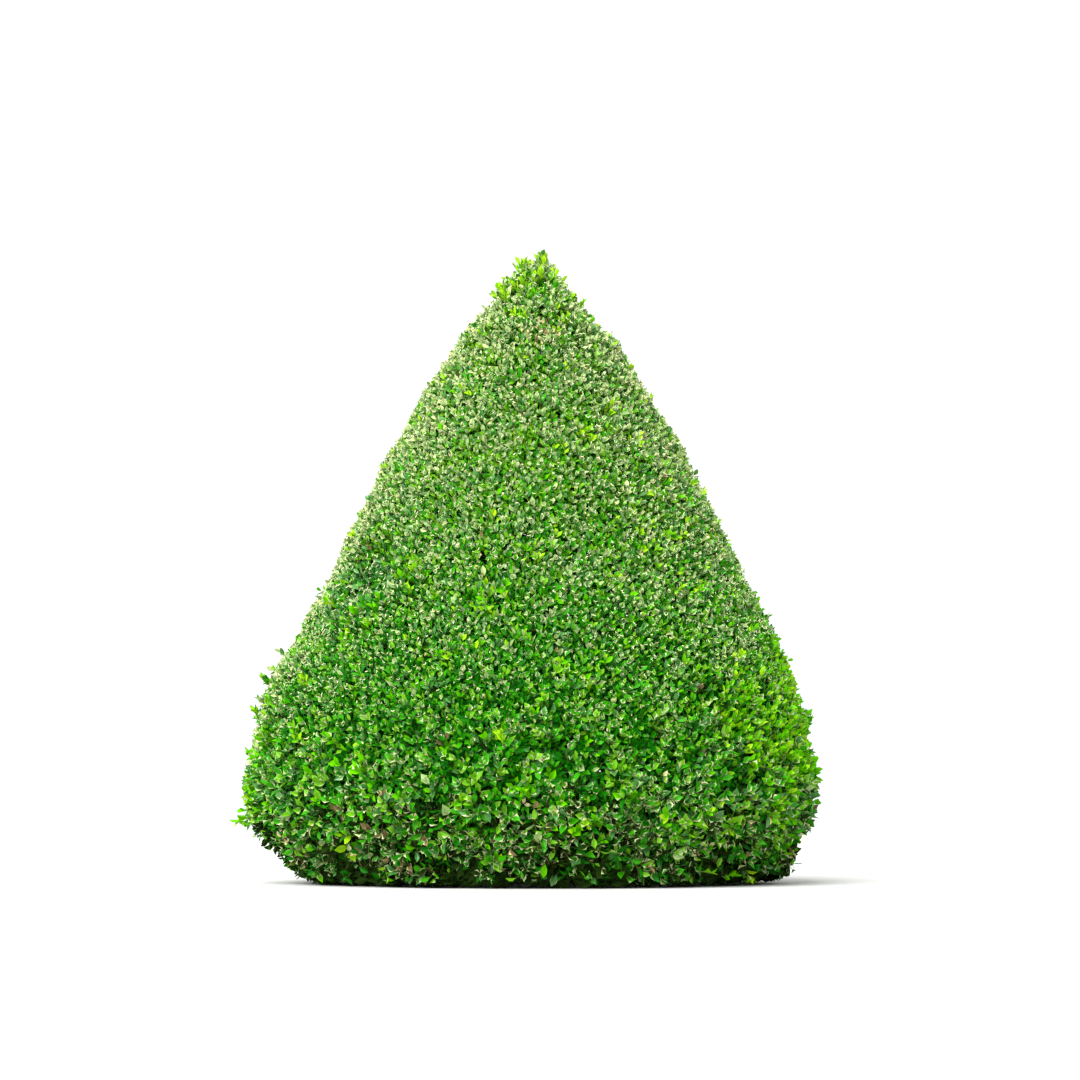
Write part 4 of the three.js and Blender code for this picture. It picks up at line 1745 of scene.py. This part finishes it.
class Studio:
    """A plain pale floor, a soft sun, a white sky, and the camera."""

    def __init__(self, size: StudioSize) -> None:
        """Keeps the studio's sizes."""
        self.size = size

    def build(self) -> None:
        """Builds the floor, lights and camera."""
        self._floor()
        self._light()
        self._camera()
        settings = bpy.context.scene.view_settings
        settings.view_transform = "Standard"

    def _floor(self) -> None:
        """Lays a wide round floor at ground level."""
        size, sides = self.size, self.size.floor_sides
        i = np.arange(sides)
        rim = polar(size.floor_radius, i * (FULL_TURN / sides), size.floor_height)
        points = np.concatenate([rim, [[0.0, 0.0, size.floor_height]]])
        triangles = np.stack([np.full(sides, sides), i, (i + 1) % sides], axis=1)
        floor = Surface(points, triangles, np.zeros(sides, dtype=int))
        floor.piece(FLOOR.name, [FLOOR.material()])

    def _light(self) -> None:
        """Hangs a wide, soft sun and sets the sky."""
        size = self.size
        sun = bpy.data.lights.new("soft_sun", "SUN")
        sun.energy = size.sun_strength
        sun.angle = math.radians(size.sun_angle_deg)
        lamp = bpy.data.objects.new("soft_sun", sun)
        tilt, turn = math.radians(size.sun_tilt_deg), math.radians(size.sun_turn_deg)
        lamp.rotation_euler = (tilt, 0.0, turn)
        bpy.context.scene.collection.objects.link(lamp)
        world = bpy.data.worlds.new("studio_sky")
        world.use_nodes = True
        background = world.node_tree.nodes["Background"]
        background.inputs["Color"].default_value = (1.0, 1.0, 1.0, 1.0)
        background.inputs["Strength"].default_value = size.sky
        bpy.context.scene.world = world

    def _camera(self) -> None:
        """Stands the camera far in front and low, so that the skirt's foot reads nearly level."""
        size = self.size
        data = bpy.data.cameras.new("camera")
        data.lens, data.sensor_width = size.lens_mm, size.sensor_mm
        camera = bpy.data.objects.new("camera", data)
        camera.location = (size.aim[0], -size.distance, size.camera_height)
        drop = math.atan2(size.camera_height - size.aim[2], size.distance)
        camera.rotation_euler = (math.pi / 2.0 - drop, 0.0, 0.0)
        bpy.context.scene.collection.objects.link(camera)
        bpy.context.scene.camera = camera


# ---- The plant ----


def dress(piece: bpy.types.Object, node: str) -> None:
    """Makes a piece stand for a CAD node and follow the one body.

    Args:
        piece: The finished piece.
        node: The node that it replaces.
    """
    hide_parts(node)
    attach(piece, "root")


def main() -> None:
    """Builds the plant on its frame, limb by limb and mass by mass, then the studio."""
    logging.basicConfig(level=logging.INFO, format="%(name)s %(message)s")
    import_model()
    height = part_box("crown_tip")[1].z
    BARK.material()
    limbs = Limbs()
    for piece, node in limbs.build():
        dress(piece, node)
    shape = ClippedShape(height)
    branching = Branching(shape, limbs)
    foliage = Foliage(shape, branching)
    twig_finishes = [WOODY_TWIG.material(), GREEN_TWIG.material()]
    leaf_finishes = [LEAF_FINISHES[tone].material() for tone in Tone]
    for mass, name in enumerate(MASSES):
        node = f"crown_{name}"
        dress(branching.surface(mass).piece(f"{node}_twigs", twig_finishes), node)
        leaves = foliage.surface(mass).piece(f"{node}_leaves", leaf_finishes, smooth=False)
        dress(leaves, node)
    Studio(StudioSize()).build()


if __name__ == "__main__":
    main()
